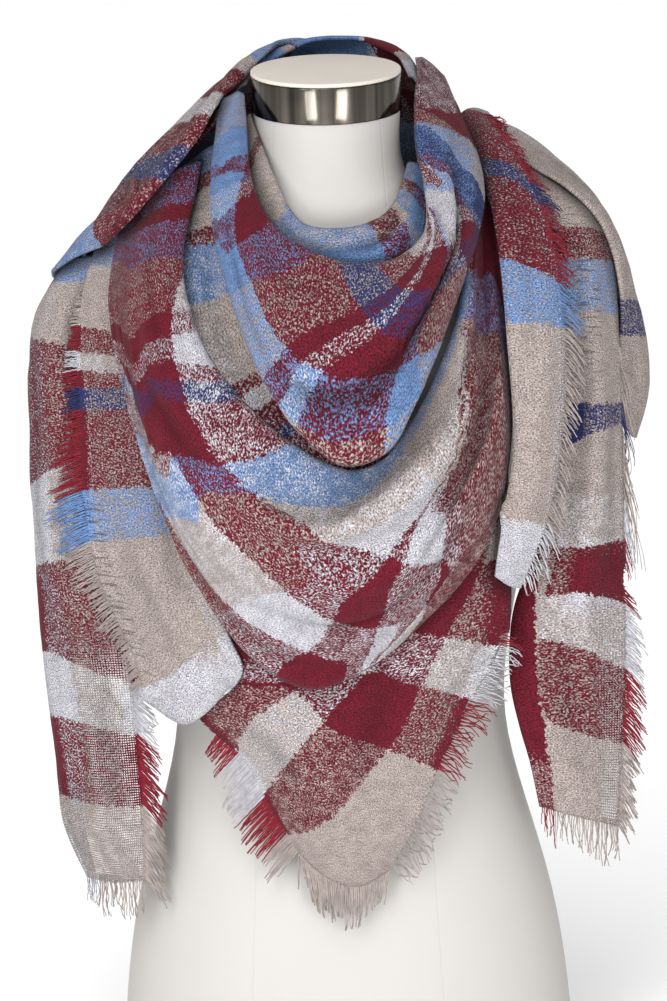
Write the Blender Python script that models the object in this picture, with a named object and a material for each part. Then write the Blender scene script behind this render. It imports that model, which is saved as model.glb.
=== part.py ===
"""Blanket scarf, wound round the neck and shoulders of a limbless dress form.

Metres, +Z up.  The form stands on the plane z = 0 with its axis on Z, and faces -Y.
Tables are in millimetres: x across, z up, f forward of the form's axis (y = -f).
"""

import math

import bmesh
import bpy
from mathutils import Vector
from mathutils.bvhtree import BVHTree

MM = 0.001

# ---------------------------------------------------------------- driving dimensions (mm)
CLOTH = 3.0            # thickness of the brushed cloth
FRINGE_WALL = 2.0      # thickness of the layer that the fringe yarns fill
LAYER_GAP = 0.8        # least clearance between the walls of two layers
REST_GAP = 0.4         # least clearance between the cloth and the form
SETTLED = 0.05         # a sheet that would be moved less than this is left where it is
SETTLE_ROUNDS = 60
SETTLE_SHARE = 0.6     # of the missing clearance, made up in one round
LARGEST_MOVE = 5.0     # in one round
SEARCH_REACH = 30.0    # a layer further away than this is not looked for
EDGE_GAP = 0.8         # between a cloth edge and the fringe that grows from it
FORM_GAP = 0.3         # between the form, its neck band and its cap

FORM_SIDES = 40
FORM_MIDDLE = Vector((0.0, 0.0, 450.0))
SQUARE = 2.25          # exponent of the torso's cross-section, 2 is an ellipse
SHOULDER = 640.0       # above it the cross-section is an ellipse
NECK_LEAN = math.radians(8)
BAND_BOTTOM = 758.0
BAND_TOP = 785.5
CAP_TOP = 789.0
CAP_RADIUS = 57.5
CAP_EDGE = 1.5
NECK_FORWARD = 6.0

# the form's cross-sections
#    name              z   half_width  front  back
FORM = (
    ("underside",      0,  180, 114, 120),
    ("hips",          60,  177, 112, 120),
    ("high hip",     140,  166, 104, 113),
    ("below waist",  215,  143,  92,  98),
    ("waist",        280,  126,  85,  86),
    ("ribs",         340,  131,  92,  84),
    ("under bust",   410,  146, 107,  92),
    ("bust",         470,  157, 116, 100),
    ("chest",        530,  166, 110, 106),
    ("armpit",       590,  172,  94, 108),
    ("upper chest",  630,  168,  78, 100),
    ("shoulder",     655,  146,  68,  88),
    ("slope",        674,  106,  60,  72),
    ("neck root",    692,   70,  57,  58),
    ("neck",         712,   57,  57,  50),
    ("upper neck",   734,   55,  60,  50),
)

# ---------------------------------------------------------------- the cloth's folds (mm)
# Each table is one stretch of cloth, a row for each fold or level.  Its columns are the places
# named above it, each as x, z, f.

# columns: left end, left side, low left, low right, right side, right end
INNER_LOOP = (
    ("inner lip", (-59, 756, 14), (-45, 720, 48), (-22, 679, 76), (19, 675, 82), (50, 688, 62),
     (62, 716, 14)),
    ("middle", (-62, 746, 19), (-52, 709, 56), (-22, 667, 88), (22, 661, 97), (58, 674, 76),
     (69, 715, 16)),
    ("tucked", (-65, 733, 22), (-57, 695, 60), (-27, 654, 93), (23, 643, 102), (66, 658, 80),
     (77, 708, 18)),
)
# columns: as above, then the right shoulder and the nape
COWL = (
    ("inner lip", (-64, 771, 16), (-57, 705, 68), (-30, 668, 100), (29, 649, 114), (73, 672, 90),
     (70, 738, 32), (73, 787, -28)),
    ("upper", (-67, 773, 17), (-64, 695, 81), (-32, 642, 126), (33, 626, 142), (85, 666, 108),
     (84, 738, 28), (78, 786, -38)),
    ("middle", (-71, 771, 17), (-73, 686, 88), (-36, 611, 146), (32, 594, 162), (92, 658, 118),
     (97, 728, 28), (84, 781, -48)),
    ("lower", (-77, 768, 14), (-81, 679, 90), (-42, 581, 162), (34, 557, 180), (98, 651, 116),
     (111, 718, 33), (90, 775, -54)),
    ("lower lip", (-82, 761, 4), (-86, 677, 82), (-39, 552, 164), (34, 519, 184), (101, 645, 104),
     (117, 708, 35), (95, 768, -60)),
)
# columns: left end, left side, low left, low right, right side, right end
UNDER_FOLD = (
    ("under cowl", (-76, 738, 20), (-74, 659, 70), (-36, 562, 118), (38, 528, 130), (92, 597, 95),
     (96, 694, 36)),
    ("middle", (-91, 731, 16), (-92, 651, 66), (-54, 551, 114), (32, 507, 130), (96, 582, 92),
     (100, 692, 30)),
    ("under swag", (-111, 716, 12), (-126, 636, 76), (-90, 528, 130), (16, 480, 142), (100, 565, 98),
     (104, 690, 22)),
)
MAIN_SWAG = (
    ("upper lip", (-97, 721, 24), (-111, 635, 90), (-69, 552, 140), (23, 503, 152), (92, 603, 112),
     (108, 697, 44)),
    ("blue row", (-112, 718, 32), (-125, 633, 100), (-88, 534, 150), (12, 486, 166), (98, 590, 124),
     (110, 697, 39)),
    ("inner fold", (-122, 713, 32), (-137, 626, 102), (-100, 514, 154), (6, 463, 176), (93, 533, 146),
     (112, 696, 34)),
    ("valley", (-128, 709, 30), (-143, 622, 99), (-108, 498, 152), (9, 445, 160), (104, 519, 128),
     (116, 694, 28)),
    ("right roll", (-134, 705, 28), (-149, 617, 97), (-110, 477, 152), (21, 420, 164), (115, 527, 140),
     (120, 692, 24)),
    ("behind roll", (-138, 701, 24), (-155, 612, 94), (-110, 460, 150), (10, 390, 156), (120, 472, 124),
     (132, 640, 62)),
    ("diagonal crease", (-143, 696, 20), (-160, 607, 90), (-109, 443, 148), (-7, 364, 158),
     (104, 429, 132), (135, 540, 94)),
    ("hem", (-147, 687, 14), (-164, 601, 84), (-107, 422, 144), (-23, 340, 156), (68, 393, 138),
     (124, 466, 104)),
)
# columns: left edge, left of the middle, middle, right of the middle, right edge
BIB = (
    ("chest", (-116, 470, 102), (-74, 480, 122), (-3, 490, 127), (69, 500, 123), (130, 505, 90)),
    ("under swag", (-123, 398, 104), (-74, 402, 131), (-3, 402, 136), (69, 406, 131), (130, 421, 98)),
    ("high", (-117, 355, 104), (-68, 357, 133), (-4, 356, 139), (60, 361, 133), (127, 360, 102)),
    ("widest", (-113, 311, 104), (-63, 312, 132), (-5, 308, 137), (50, 311, 131), (102, 314, 108)),
    ("left stripe", (-78, 278, 110), (-44, 270, 129), (-6, 264, 133), (36, 268, 127), (76, 264, 112)),
    ("right stripe", (-60, 245, 113), (-33, 233, 124), (-6, 226, 127), (27, 226, 122), (58, 222, 112)),
    ("corner", (-35, 202, 113), (-18, 186, 117), (-2, 177, 119), (15, 176, 118), (34, 186, 112)),
)
# columns: raw edge, middle, edge under the swag
LEFT_PANEL = (
    ("top", (-172, 676, 20), (-156, 680, 26), (-130, 684, 40)),
    ("shoulder", (-188, 630, 38), (-168, 629, 50), (-136, 631, 72)),
    ("curl", (-196, 585, 40), (-170, 583, 58), (-136, 585, 84)),
    ("navy row", (-193, 536, 44), (-165, 537, 66), (-126, 538, 96)),
    ("blue row", (-192, 459, 48), (-157, 459, 76), (-106, 460, 112)),
    ("beige", (-180, 396, 58), (-143, 396, 90), (-88, 395, 122)),
    ("low", (-160, 352, 70), (-122, 349, 100), (-72, 352, 136)),
    ("corner", (-150, 314, 76), (-116, 302, 104), (-84, 333, 131)),
)
# columns: right and left of the nape, beside the neck, inner shoulder, outer shoulder, arm
LEFT_SHOULDER = (
    ("rear", (24, 778, -104), (-24, 782, -104), (-66, 766, -98), (-108, 738, -98), (-163, 690, -100),
     (-205, 618, -84)),
    ("ridge", (26, 786, -98), (-24, 797, -92), (-68, 782, -70), (-112, 752, -42), (-177, 683, -40),
     (-208, 618, -62)),
    ("front", (26, 793, -92), (-24, 801, -80), (-66, 790, -44), (-106, 749, 8), (-166, 684, 24),
     (-209, 622, -32)),
    ("lip", (24, 796, -86), (-20, 795, -67), (-60, 787, -24), (-97, 748, 33), (-148, 692, 54),
     (-205, 630, -6)),
)
# columns: inner edge, front, outermost, rear
LEFT_TAIL = (
    ("shoulder", (-148, 658, 10), (-172, 652, 14), (-199, 648, 2), (-194, 648, -56)),
    ("upper arm", (-169, 597, 34), (-203, 601, 34), (-229, 601, 2), (-219, 592, -64)),
    ("red row", (-172, 520, 44), (-204, 520, 42), (-236, 514, 0), (-226, 504, -64)),
    ("lavender", (-173, 435, 50), (-202, 433, 48), (-234, 427, 8), (-227, 413, -55)),
    ("burgundy", (-170, 358, 56), (-200, 357, 54), (-231, 351, 15), (-222, 339, -40)),
    ("gauze", (-156, 280, 62), (-189, 278, 58), (-224, 274, 25), (-212, 263, -20)),
    ("low", (-153, 209, 66), (-185, 207, 62), (-218, 207, 32), (-206, 198, 0)),
    ("end", (-154, 169, 66), (-178, 167, 62), (-201, 166, 40), (-198, 163, 15)),
)
# columns: inner edge, middle, raw edge
RIGHT_FRONT = (
    ("over", (97, 741, -36), (111, 751, -44), (126, 747, -46)),
    ("shoulder", (107, 729, 0), (120, 738, 4), (133, 739, 0)),
    ("navy row", (118, 706, 31), (134, 713, 39), (150, 711, 30)),
    ("red row", (124, 677, 59), (143, 679, 66), (164, 679, 52)),
    ("blue row", (128, 639, 85), (149, 638, 89), (171, 638, 74)),
    ("beige", (130, 589, 102), (150, 589, 104), (176, 586, 88)),
    ("low beige", (130, 530, 110), (151, 530, 111), (173, 523, 95)),
    ("turn", (127, 474, 116), (145, 472, 116), (163, 467, 102)),
    ("lavender", (122, 440, 116), (138, 436, 112), (152, 432, 104)),
    ("corner", (118, 412, 114), (128, 404, 108), (138, 400, 100)),
)
# columns: inner edge, middle, raw edge
RIGHT_TAIL = (
    ("over", (123, 739, -41), (141, 734, -47), (160, 721, -51)),
    ("shoulder", (134, 716, -2), (148, 714, 0), (166, 704, -6)),
    ("frayed", (161, 679, 30), (183, 680, 32), (206, 673, 14)),
    ("blue row", (169, 635, 48), (193, 635, 50), (217, 628, 26)),
    ("beige", (170, 575, 60), (195, 575, 62), (219, 570, 38)),
    ("navy row", (169, 523, 66), (196, 522, 68), (220, 518, 44)),
    ("lavender", (159, 447, 72), (191, 446, 74), (220, 441, 48)),
    ("burgundy", (134, 382, 78), (175, 382, 80), (221, 379, 52)),
    ("speckle", (130, 320, 80), (172, 319, 80), (221, 316, 54)),
    ("gauze", (144, 259, 78), (179, 258, 78), (217, 253, 56)),
    ("end", (151, 223, 74), (182, 213, 74), (213, 201, 58)),
)
# columns: front, outermost, rear
RIGHT_OUTER = (
    ("neck", (122, 728, -6), (124, 734, -34), (114, 736, -62)),
    ("shoulder", (156, 702, 10), (168, 712, -24), (158, 714, -72)),
    ("point", (194, 668, 18), (210, 677, -14), (200, 675, -74)),
    ("upper arm", (212, 620, 22), (233, 618, -8), (218, 614, -72)),
    ("navy patch", (218, 569, 24), (244, 565, -4), (226, 557, -66)),
    ("low", (219, 530, 26), (243, 530, 0), (231, 516, -56)),
    ("end", (224, 510, 22), (233, 498, 8), (235, 504, -30)),
)
# columns: left front, shoulder, blade, left of the spine, right of it, blade, shoulder, right front
BACK_WRAP = (
    ("neck roll", (-64, 776, -16), (-58, 788, -39), (-36, 798, -61), (-13, 803, -71), (15, 804, -72),
     (38, 801, -64), (60, 790, -40), (66, 776, -16)),
    ("nape", (-88, 746, -20), (-84, 758, -60), (-58, 764, -86), (-20, 770, -96), (20, 770, -96),
     (60, 764, -86), (88, 756, -60), (94, 742, -20)),
    ("shoulder line", (-130, 702, -14), (-136, 708, -76), (-92, 708, -110), (-32, 710, -122),
     (32, 710, -122), (92, 708, -110), (138, 708, -76), (136, 702, -14)),
    ("shoulder blades", (-184, 640, -12), (-184, 640, -86), (-128, 636, -126), (-44, 630, -140),
     (44, 630, -140), (128, 636, -126), (184, 640, -86), (188, 640, -12)),
    ("lower back", (-206, 560, -20), (-204, 560, -84), (-150, 552, -134), (-52, 542, -152),
     (52, 542, -152), (150, 552, -134), (206, 560, -84), (208, 560, -20)),
    ("hem", (-206, 500, -26), (-206, 500, -82), (-156, 480, -134), (-58, 462, -154), (58, 462, -154),
     (156, 480, -134), (210, 500, -82), (208, 500, -26)),
)
# columns: left shoulder, left blade, left of the spine, right of it, right blade, right shoulder
BACK_SWAG = (
    ("upper lip", (-112, 730, -88), (-80, 717, -115), (-28, 703, -126), (30, 701, -126),
     (84, 717, -114), (122, 736, -84)),
    ("fold", (-150, 688, -95), (-106, 678, -137), (-36, 660, -152), (38, 658, -152), (110, 678, -136),
     (160, 696, -92)),
    ("lower fold", (-192, 644, -94), (-134, 626, -146), (-46, 598, -164), (48, 596, -164),
     (136, 624, -146), (194, 646, -96)),
    ("lower lip", (-208, 592, -98), (-150, 568, -148), (-54, 534, -168), (56, 532, -168),
     (152, 566, -148), (210, 598, -98)),
)

YARN_RED = (0.45, 0.06, 0.10)
YARN_BEIGE = (0.60, 0.55, 0.50)

# the stretches, innermost first: name, folds, faces across and faces between two rows, how far the
# upper and the lower edge roll in, colour, and what the stretch lies on
STRETCHES = (
    ("back_wrap", BACK_WRAP, 20, 2, 7.0, 0.0, (0.40, 0.05, 0.08), ("form",)),
    ("back_swag", BACK_SWAG, 20, 2, 0.0, 6.0, (0.58, 0.52, 0.47), ("form", "back_wrap")),
    ("right_tail", RIGHT_TAIL, 6, 2, 0.0, 0.0, (0.60, 0.55, 0.50), ("form", "back_wrap", "back_swag")),
    ("right_outer", RIGHT_OUTER, 8, 2, 0.0, 0.0, (0.58, 0.52, 0.47),
     ("form", "back_wrap", "back_swag", "right_tail")),
    ("left_tail", LEFT_TAIL, 9, 2, 0.0, 0.0, (0.62, 0.61, 0.66), ("form", "back_wrap", "back_swag")),
    ("bib", BIB, 12, 2, 0.0, 0.0, (0.56, 0.50, 0.46), ("form",)),
    ("left_panel", LEFT_PANEL, 7, 2, 0.0, 0.0, (0.55, 0.49, 0.45),
     ("form", "back_wrap", "left_tail", "bib")),
    ("inner_loop", INNER_LOOP, 16, 2, 5.0, 0.0, (0.20, 0.32, 0.62), ("form", "back_wrap")),
    ("under_fold", UNDER_FOLD, 16, 2, 0.0, 0.0, (0.45, 0.40, 0.38), ("form", "back_wrap", "inner_loop")),
    ("main_swag", MAIN_SWAG, 22, 2, 6.0, 6.0, (0.22, 0.02, 0.04),
     ("form", "back_wrap", "left_tail", "bib", "left_panel", "inner_loop", "under_fold")),
    ("right_front", RIGHT_FRONT, 6, 2, 0.0, 0.0, (0.36, 0.46, 0.70),
     ("form", "back_wrap", "back_swag", "right_tail", "right_outer", "bib", "main_swag")),
    ("cowl", COWL, 20, 2, 5.0, 6.0, (0.35, 0.04, 0.07),
     ("form", "back_wrap", "inner_loop", "under_fold", "main_swag", "right_front")),
    ("left_shoulder", LEFT_SHOULDER, 18, 2, 0.0, 5.0, (0.42, 0.10, 0.13),
     ("form", "back_wrap", "back_swag", "left_tail", "left_panel", "under_fold", "main_swag", "cowl")),
)

# the fringes: name, stretch, side, over which part of that side, how far the yarns reach at its
# start, middle and end, how much they droop, colour, and what they lie on
FRINGES = (
    ("bib_fringe_left", "bib", "left", 0.58, 0.92, (14, 30, 22), 0.45, YARN_RED, ()),
    ("bib_fringe_right", "bib", "right", 0.32, 0.97, (16, 24, 20), 0.40, YARN_RED, ()),
    ("panel_fringe", "left_panel", "left", 0.26, 0.86, (6, 26, 12), 0.15, YARN_RED, ("left_tail",)),
    ("front_fringe", "right_front", "right", 0.16, 0.95, (6, 12, 14), 0.35, YARN_BEIGE, ()),
    ("left_tail_fringe", "left_tail", "left", 0.72, 0.97, (12, 20, 16), 0.35, YARN_RED, ()),
    ("left_tail_end", "left_tail", "bottom", 0.03, 0.70, (16, 24, 12), 0.80, YARN_BEIGE, ()),
    ("right_tail_fringe", "right_tail", "right", 0.76, 0.97, (12, 18, 12), 0.45, YARN_RED, ()),
    ("right_tail_end", "right_tail", "bottom", 0.03, 0.97, (20, 26, 20), 0.80, YARN_BEIGE, ()),
    ("right_side_fringe", "right_tail", "right", 0.44, 0.68, (10, 26, 12), 0.70, YARN_BEIGE, ()),
)


# ---------------------------------------------------------------- small helpers
def clear_scene():
    for item in list(bpy.data.objects):
        bpy.data.objects.remove(item, do_unlink=True)


def paint(name, colour, roughness=0.85, metallic=0.0):
    material = bpy.data.materials.new(name)
    material.use_nodes = True
    shader = material.node_tree.nodes["Principled BSDF"]
    shader.inputs["Base Color"].default_value = (*colour, 1.0)
    shader.inputs["Roughness"].default_value = roughness
    shader.inputs["Metallic"].default_value = metallic
    return material


def add_object(name, points, faces, material):
    """A closed mesh from points in millimetres."""
    mesh = bpy.data.meshes.new(name)
    mesh.from_pydata([Vector(p) * MM for p in points], [], faces)
    shape = bmesh.new()
    shape.from_mesh(mesh)
    bmesh.ops.triangulate(shape, faces=[f for f in shape.faces if len(f.verts) > 4])
    bmesh.ops.recalc_face_normals(shape, faces=shape.faces)
    shape.to_mesh(mesh)
    shape.free()
    mesh.shade_smooth()
    mesh.materials.append(material)
    item = bpy.data.objects.new(name, mesh)
    bpy.context.collection.objects.link(item)
    return item


def spline(points, parameters):
    """A smooth curve through the points, read at parameters counted in points."""
    last = len(points) - 1
    curve = []
    for t in parameters:
        k = min(int(t), last - 1)
        w = t - k
        a = points[k]
        b = points[k + 1]
        slope_a = (b - points[k - 1]) * 0.5 if k > 0 else b - a
        slope_b = (points[k + 2] - a) * 0.5 if k + 2 <= last else b - a
        curve.append(a * (2 * w**3 - 3 * w**2 + 1) + b * (3 * w**2 - 2 * w**3)
                     + slope_a * (w**3 - 2 * w**2 + w) + slope_b * (w**3 - w**2))
    return curve


def evenly(points, count):
    """The curve through the points, read at equal steps of its length."""
    fine = [i * (len(points) - 1) / 120 for i in range(121)]
    path = spline(points, fine)
    lengths = [0.0]
    for a, b in zip(path, path[1:]):
        lengths.append(lengths[-1] + (b - a).length)
    result = []
    k = 0
    for i in range(count):
        target = lengths[-1] * i / (count - 1)
        while k < len(path) - 2 and lengths[k + 1] < target:
            k += 1
        span = max(lengths[k + 1] - lengths[k], 1e-9)
        result.append(path[k].lerp(path[k + 1], (target - lengths[k]) / span))
    return result


# ---------------------------------------------------------------- sheets of cloth
def grid_from_table(table, across, along):
    """Rows of points on the smooth surface through a table of folds."""
    rows = []
    for row in table:
        rows.append(evenly([Vector((x, -f, z)) for x, z, f in row[1:]], across + 1))
    steps = [i / along for i in range((len(rows) - 1) * along + 1)]
    columns = [spline([row[i] for row in rows], steps) for i in range(across + 1)]
    return [[column[j] for column in columns] for j in range(len(steps))]


def outward_normals(grid):
    """Unit normals of a grid, all on the side that faces away from the form's middle."""
    rows, columns = len(grid), len(grid[0])
    normals = []
    for j in range(rows):
        line = []
        for i in range(columns):
            along = grid[min(j + 1, rows - 1)][i] - grid[max(j - 1, 0)][i]
            across = grid[j][min(i + 1, columns - 1)] - grid[j][max(i - 1, 0)]
            line.append(across.cross(along).normalized())
        normals.append(line)
    total = 0.0
    for j in range(rows):
        for i in range(columns):
            total += normals[j][i].dot(grid[j][i] - FORM_MIDDLE)
    side = 1.0 if total > 0 else -1.0
    return [[normal * side for normal in line] for line in normals]


def roll_edge(grid, radius, first):
    """Turn the first or the last row of a grid inwards, like a folded edge, less so at its ends."""
    normals = outward_normals(grid)
    edge, inner = (0, 1) if first else (-1, -2)
    last = len(grid[0]) - 1
    turned = []
    for i, place in enumerate(grid[edge]):
        size = radius * min(1.0, 0.3 + 3.0 * min(i, last - i) / last)
        outward = (place - grid[inner][i]).normalized()
        turned.append(place + outward * size * 0.6 - normals[edge][i] * size)
    return [turned] + grid if first else grid + [turned]


def surface_tree(grid):
    """A search tree of a grid, its faces turned outwards."""
    points = [place for row in grid for place in row]
    normals = outward_normals(grid)
    columns = len(grid[0])
    faces = []
    for j in range(len(grid) - 1):
        for i in range(columns - 1):
            k = j * columns + i
            for face in ((k, k + 1, k + columns + 1), (k, k + columns + 1, k + columns)):
                a, b, c = (points[n] for n in face)
                out = (b - a).cross(c - a).dot(normals[j][i]) > 0
                faces.append(face if out else face[::-1])
    return BVHTree.FromPolygons(points, faces)


def halve(grid):
    """The grid with a point added halfway between each two neighbours."""
    wide = []
    for row in grid:
        line = [row[0]]
        for a, b in zip(row, row[1:]):
            line += [(a + b) / 2, b]
        wide.append(line)
    result = [wide[0]]
    for above, below in zip(wide, wide[1:]):
        result += [[(a + b) / 2 for a, b in zip(above, below)], below]
    return result


def neighbours(lines, j, i, rows, columns):
    return [lines[b][a] for b in range(max(j - 1, 0), min(j + 2, rows))
            for a in range(max(i - 1, 0), min(i + 2, columns))]


def clearing_move(place, carriers):
    """The largest move that some carrier asks of one point."""
    best = Vector()
    for tree, need in carriers:
        found, facing, _face, distance = tree.find_nearest(place, SEARCH_REACH)
        if found is None:
            continue
        off = place - found
        away = facing
        if off.dot(facing) < -0.88 * distance:
            distance = -distance
        elif distance > 1e-6:
            away = (off / distance + facing).normalized()
        missing = min((need - distance) * SETTLE_SHARE, LARGEST_MOVE)
        if missing > best.length:
            best = away * missing
    return best


def settle(grid, carriers):
    """Move a sheet off what it lies on, until every facet of it is clear."""
    rows, columns = len(grid), len(grid[0])
    for _ in range(SETTLE_ROUNDS):
        fine = [[clearing_move(place, carriers) for place in line] for line in halve(grid)]
        fine_rows, fine_columns = len(fine), len(fine[0])
        moves = []
        for j in range(rows):
            line = []
            for i in range(columns):
                near = neighbours(fine, 2 * j, 2 * i, fine_rows, fine_columns)
                line.append(max(near, key=lambda move: move.length))
            moves.append(line)
        if max(move.length for line in moves for move in line) < SETTLED:
            break
        for _ in range(2):
            wider = []
            for j in range(rows):
                line = []
                for i in range(columns):
                    near = neighbours(moves, j, i, rows, columns)
                    mean = sum(near, Vector()) / len(near)
                    line.append(mean if mean.length > moves[j][i].length else moves[j][i])
                wider.append(line)
            moves = wider
        grid = [[grid[j][i] + moves[j][i] for i in range(columns)] for j in range(rows)]
    return grid


def shell(grid, thickness):
    """Points and faces of a closed wall round a grid."""
    normals = outward_normals(grid)
    rows, columns = len(grid), len(grid[0])
    points = []
    for side in (0.5, -0.5):
        for j in range(rows):
            for i in range(columns):
                points.append(grid[j][i] + normals[j][i] * thickness * side)
    under = rows * columns
    faces = []
    for j in range(rows - 1):
        for i in range(columns - 1):
            k = j * columns + i
            faces.append((k, k + 1, k + columns + 1, k + columns))
            faces.append((under + k, under + k + columns, under + k + columns + 1, under + k + 1))
    rim = [i for i in range(columns)]
    rim += [j * columns + columns - 1 for j in range(1, rows)]
    rim += [(rows - 1) * columns + i for i in range(columns - 2, -1, -1)]
    rim += [j * columns for j in range(rows - 2, 0, -1)]
    for a, b in zip(rim, rim[1:] + rim[:1]):
        faces.append((a, under + a, under + b, b))
    return points, faces


def side_of(grid, side):
    """The points of one side of a grid, and of the line next to it."""
    if side == "bottom":
        return grid[-1], grid[-2]
    edge, inner = (0, 1) if side == "left" else (-1, -2)
    return [row[edge] for row in grid], [row[inner] for row in grid]


def fringe_grid(grid, side, start, end, reaches, droop):
    """A strip that grows out of one side of a sheet and bends down with its weight."""
    edge, inner = side_of(grid, side)
    last = len(edge) - 1
    first = max(round(start * last), 0)
    final = min(round(end * last), last)
    roots = edge[first:final + 1]
    within = inner[first:final + 1]
    count = len(roots)
    near, middle, far = reaches
    rows = [[], [], []]
    for i, (root, back) in enumerate(zip(roots, within)):
        t = i / (count - 1)
        reach = near * (1 - t) * (1 - 2 * t) + middle * 4 * t * (1 - t) + far * t * (2 * t - 1)
        outward = (root - back).normalized()
        hanging = outward.lerp(Vector((0, 0, -1)), droop).normalized()
        rows[0].append(root + outward * EDGE_GAP)
        halfway = root + outward.lerp(hanging, 0.5).normalized() * reach * 0.5
        rows[1].append(halfway)
        rows[2].append(halfway + hanging * reach * 0.5)
    return rows


# ---------------------------------------------------------------- the dress form
def form_ring(z, half_width, front, back, exponent):
    ring = []
    for i in range(FORM_SIDES):
        angle = 2 * math.pi * i / FORM_SIDES
        s, c = math.sin(angle), math.cos(angle)
        depth = front if c > 0 else back
        x = half_width * math.copysign(abs(s) ** (2 / exponent), s)
        f = depth * math.copysign(abs(c) ** (2 / exponent), c)
        ring.append(Vector((x, -f, z)))
    return ring


def neck_ring(z, radius):
    """A ring of the neck block, which leans forward and is cut square to its own axis."""
    ring = []
    for i in range(FORM_SIDES):
        angle = 2 * math.pi * i / FORM_SIDES
        x = radius * math.sin(angle)
        forward = radius * math.cos(angle)
        centre = NECK_FORWARD + (z - BAND_BOTTOM) * math.tan(NECK_LEAN)
        f = centre + forward * math.cos(NECK_LEAN)
        ring.append(Vector((x, -f, z - forward * math.sin(NECK_LEAN))))
    return ring


def loft(name, rings, material):
    points = [place for ring in rings for place in ring]
    count = len(rings[0])
    faces = [tuple(range(count)), tuple(range(len(points) - count, len(points)))]
    for k in range(len(rings) - 1):
        for i in range(count):
            a = k * count + i
            b = k * count + (i + 1) % count
            faces.append((a, b, b + count, a + count))
    return add_object(name, points, faces, material)


def make_form():
    rings = []
    for _name, z, half_width, front, back in FORM:
        rings.append(form_ring(z, half_width, front, back, SQUARE if z < SHOULDER else 2.0))
    rings.append(neck_ring(BAND_BOTTOM - FORM_GAP, CAP_RADIUS - 1.0))
    loft("form_body", rings, paint("form_cover", (0.82, 0.80, 0.77), 0.5))
    band = [neck_ring(BAND_BOTTOM, CAP_RADIUS), neck_ring(BAND_TOP, CAP_RADIUS)]
    loft("neck_band", band, paint("band_chrome", (0.75, 0.75, 0.76), 0.12, 1.0))
    cap = [neck_ring(BAND_TOP + FORM_GAP, CAP_RADIUS), neck_ring(CAP_TOP - CAP_EDGE, CAP_RADIUS),
           neck_ring(CAP_TOP, CAP_RADIUS - CAP_EDGE)]
    loft("neck_cap", cap, paint("cap_beige", (0.72, 0.67, 0.58), 0.6))
    return rings


def form_tree(rings):
    points = [place for ring in rings for place in ring]
    faces = []
    for k in range(len(rings) - 1):
        for i in range(FORM_SIDES):
            a = k * FORM_SIDES + i
            b = k * FORM_SIDES + (i + 1) % FORM_SIDES
            faces.append((a, b, b + FORM_SIDES, a + FORM_SIDES))
    return BVHTree.FromPolygons(points, faces)


# ---------------------------------------------------------------- the scarf
def make_scarf(rings):
    neck = [neck_ring(BAND_BOTTOM, CAP_RADIUS), neck_ring(CAP_TOP, CAP_RADIUS)]
    between_layers = CLOTH + LAYER_GAP
    grids = {}
    carriers = {"form": (form_tree(rings + neck), CLOTH / 2 + REST_GAP)}
    for name, table, across, along, top_roll, bottom_roll, colour, lies_on in STRETCHES:
        grid = grid_from_table(table, across, along)
        if top_roll:
            grid = roll_edge(grid, top_roll, True)
        if bottom_roll:
            grid = roll_edge(grid, bottom_roll, False)
        grid = settle(grid, [carriers[other] for other in lies_on])
        carriers[name] = (surface_tree(grid), between_layers)
        grids[name] = grid
        points, faces = shell(grid, CLOTH)
        add_object(name, points, faces, paint(name + "_cloth", colour))
    for name, stretch, side, start, end, reaches, droop, colour, lies_on in FRINGES:
        grid = fringe_grid(grids[stretch], side, start, end, reaches, droop)
        grid = settle(grid, [carriers[other] for other in lies_on])
        points, faces = shell(grid, FRINGE_WALL)
        add_object(name, points, faces, paint(name + "_yarn", colour))


def main():
    clear_scene()
    rings = make_form()
    make_scarf(rings)


main()
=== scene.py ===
"""The finish of a blanket scarf that is wound round a limbless dress form.

Metres, +Z up, -Y is the front.  The tables of folds are in millimetres: x across, z up, f forward
of the form's axis (y = -f).  Places on a sheet of cloth are given as u, from 0 at its left side to
1 at its right side, and v, from 0 at its top row to 1 at its bottom row.
"""

import math
import random
from collections import namedtuple

import bmesh
import bpy
import numpy as np
from mathutils import Matrix, Vector, noise
from mathutils.bvhtree import BVHTree


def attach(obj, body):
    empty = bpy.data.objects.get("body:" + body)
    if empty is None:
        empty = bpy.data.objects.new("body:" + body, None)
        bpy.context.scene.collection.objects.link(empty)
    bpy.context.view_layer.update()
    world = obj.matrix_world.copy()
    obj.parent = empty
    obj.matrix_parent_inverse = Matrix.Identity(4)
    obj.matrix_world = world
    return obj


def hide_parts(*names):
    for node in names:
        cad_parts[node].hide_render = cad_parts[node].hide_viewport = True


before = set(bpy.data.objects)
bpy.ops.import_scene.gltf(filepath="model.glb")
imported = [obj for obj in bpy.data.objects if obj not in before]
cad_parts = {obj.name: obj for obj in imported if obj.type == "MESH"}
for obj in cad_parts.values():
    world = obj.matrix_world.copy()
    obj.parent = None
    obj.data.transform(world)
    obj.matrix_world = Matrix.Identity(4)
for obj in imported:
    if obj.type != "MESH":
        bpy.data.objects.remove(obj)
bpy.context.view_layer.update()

bl_info = {
    "name": "Blanket scarf on a dress form",
    "version": (1, 0, 0),
    "blender": (4, 5, 0),
    "location": "View3D > Sidebar > Scarf",
    "description": "Builds a wound blanket scarf, its fringes and the dress form that carries it",
    "category": "Object",
}

MM = 0.001

# ------------------------------------ the dress form (mm)
FORM_SIDES = 48
FORM_MIDDLE = np.array((0.0, 0.0, 450.0))
NECK_LEAN = math.radians(8)
NECK_FORWARD = 6.0
BAND_BOTTOM = 758.0
BAND_TOP = 785.5
CAP_TOP = 789.0
CAP_RADIUS = 57.5
PART_GAP = 0.3
# how much slimmer than the band the cover is at its top
COVER_STEP = 1.0

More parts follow.
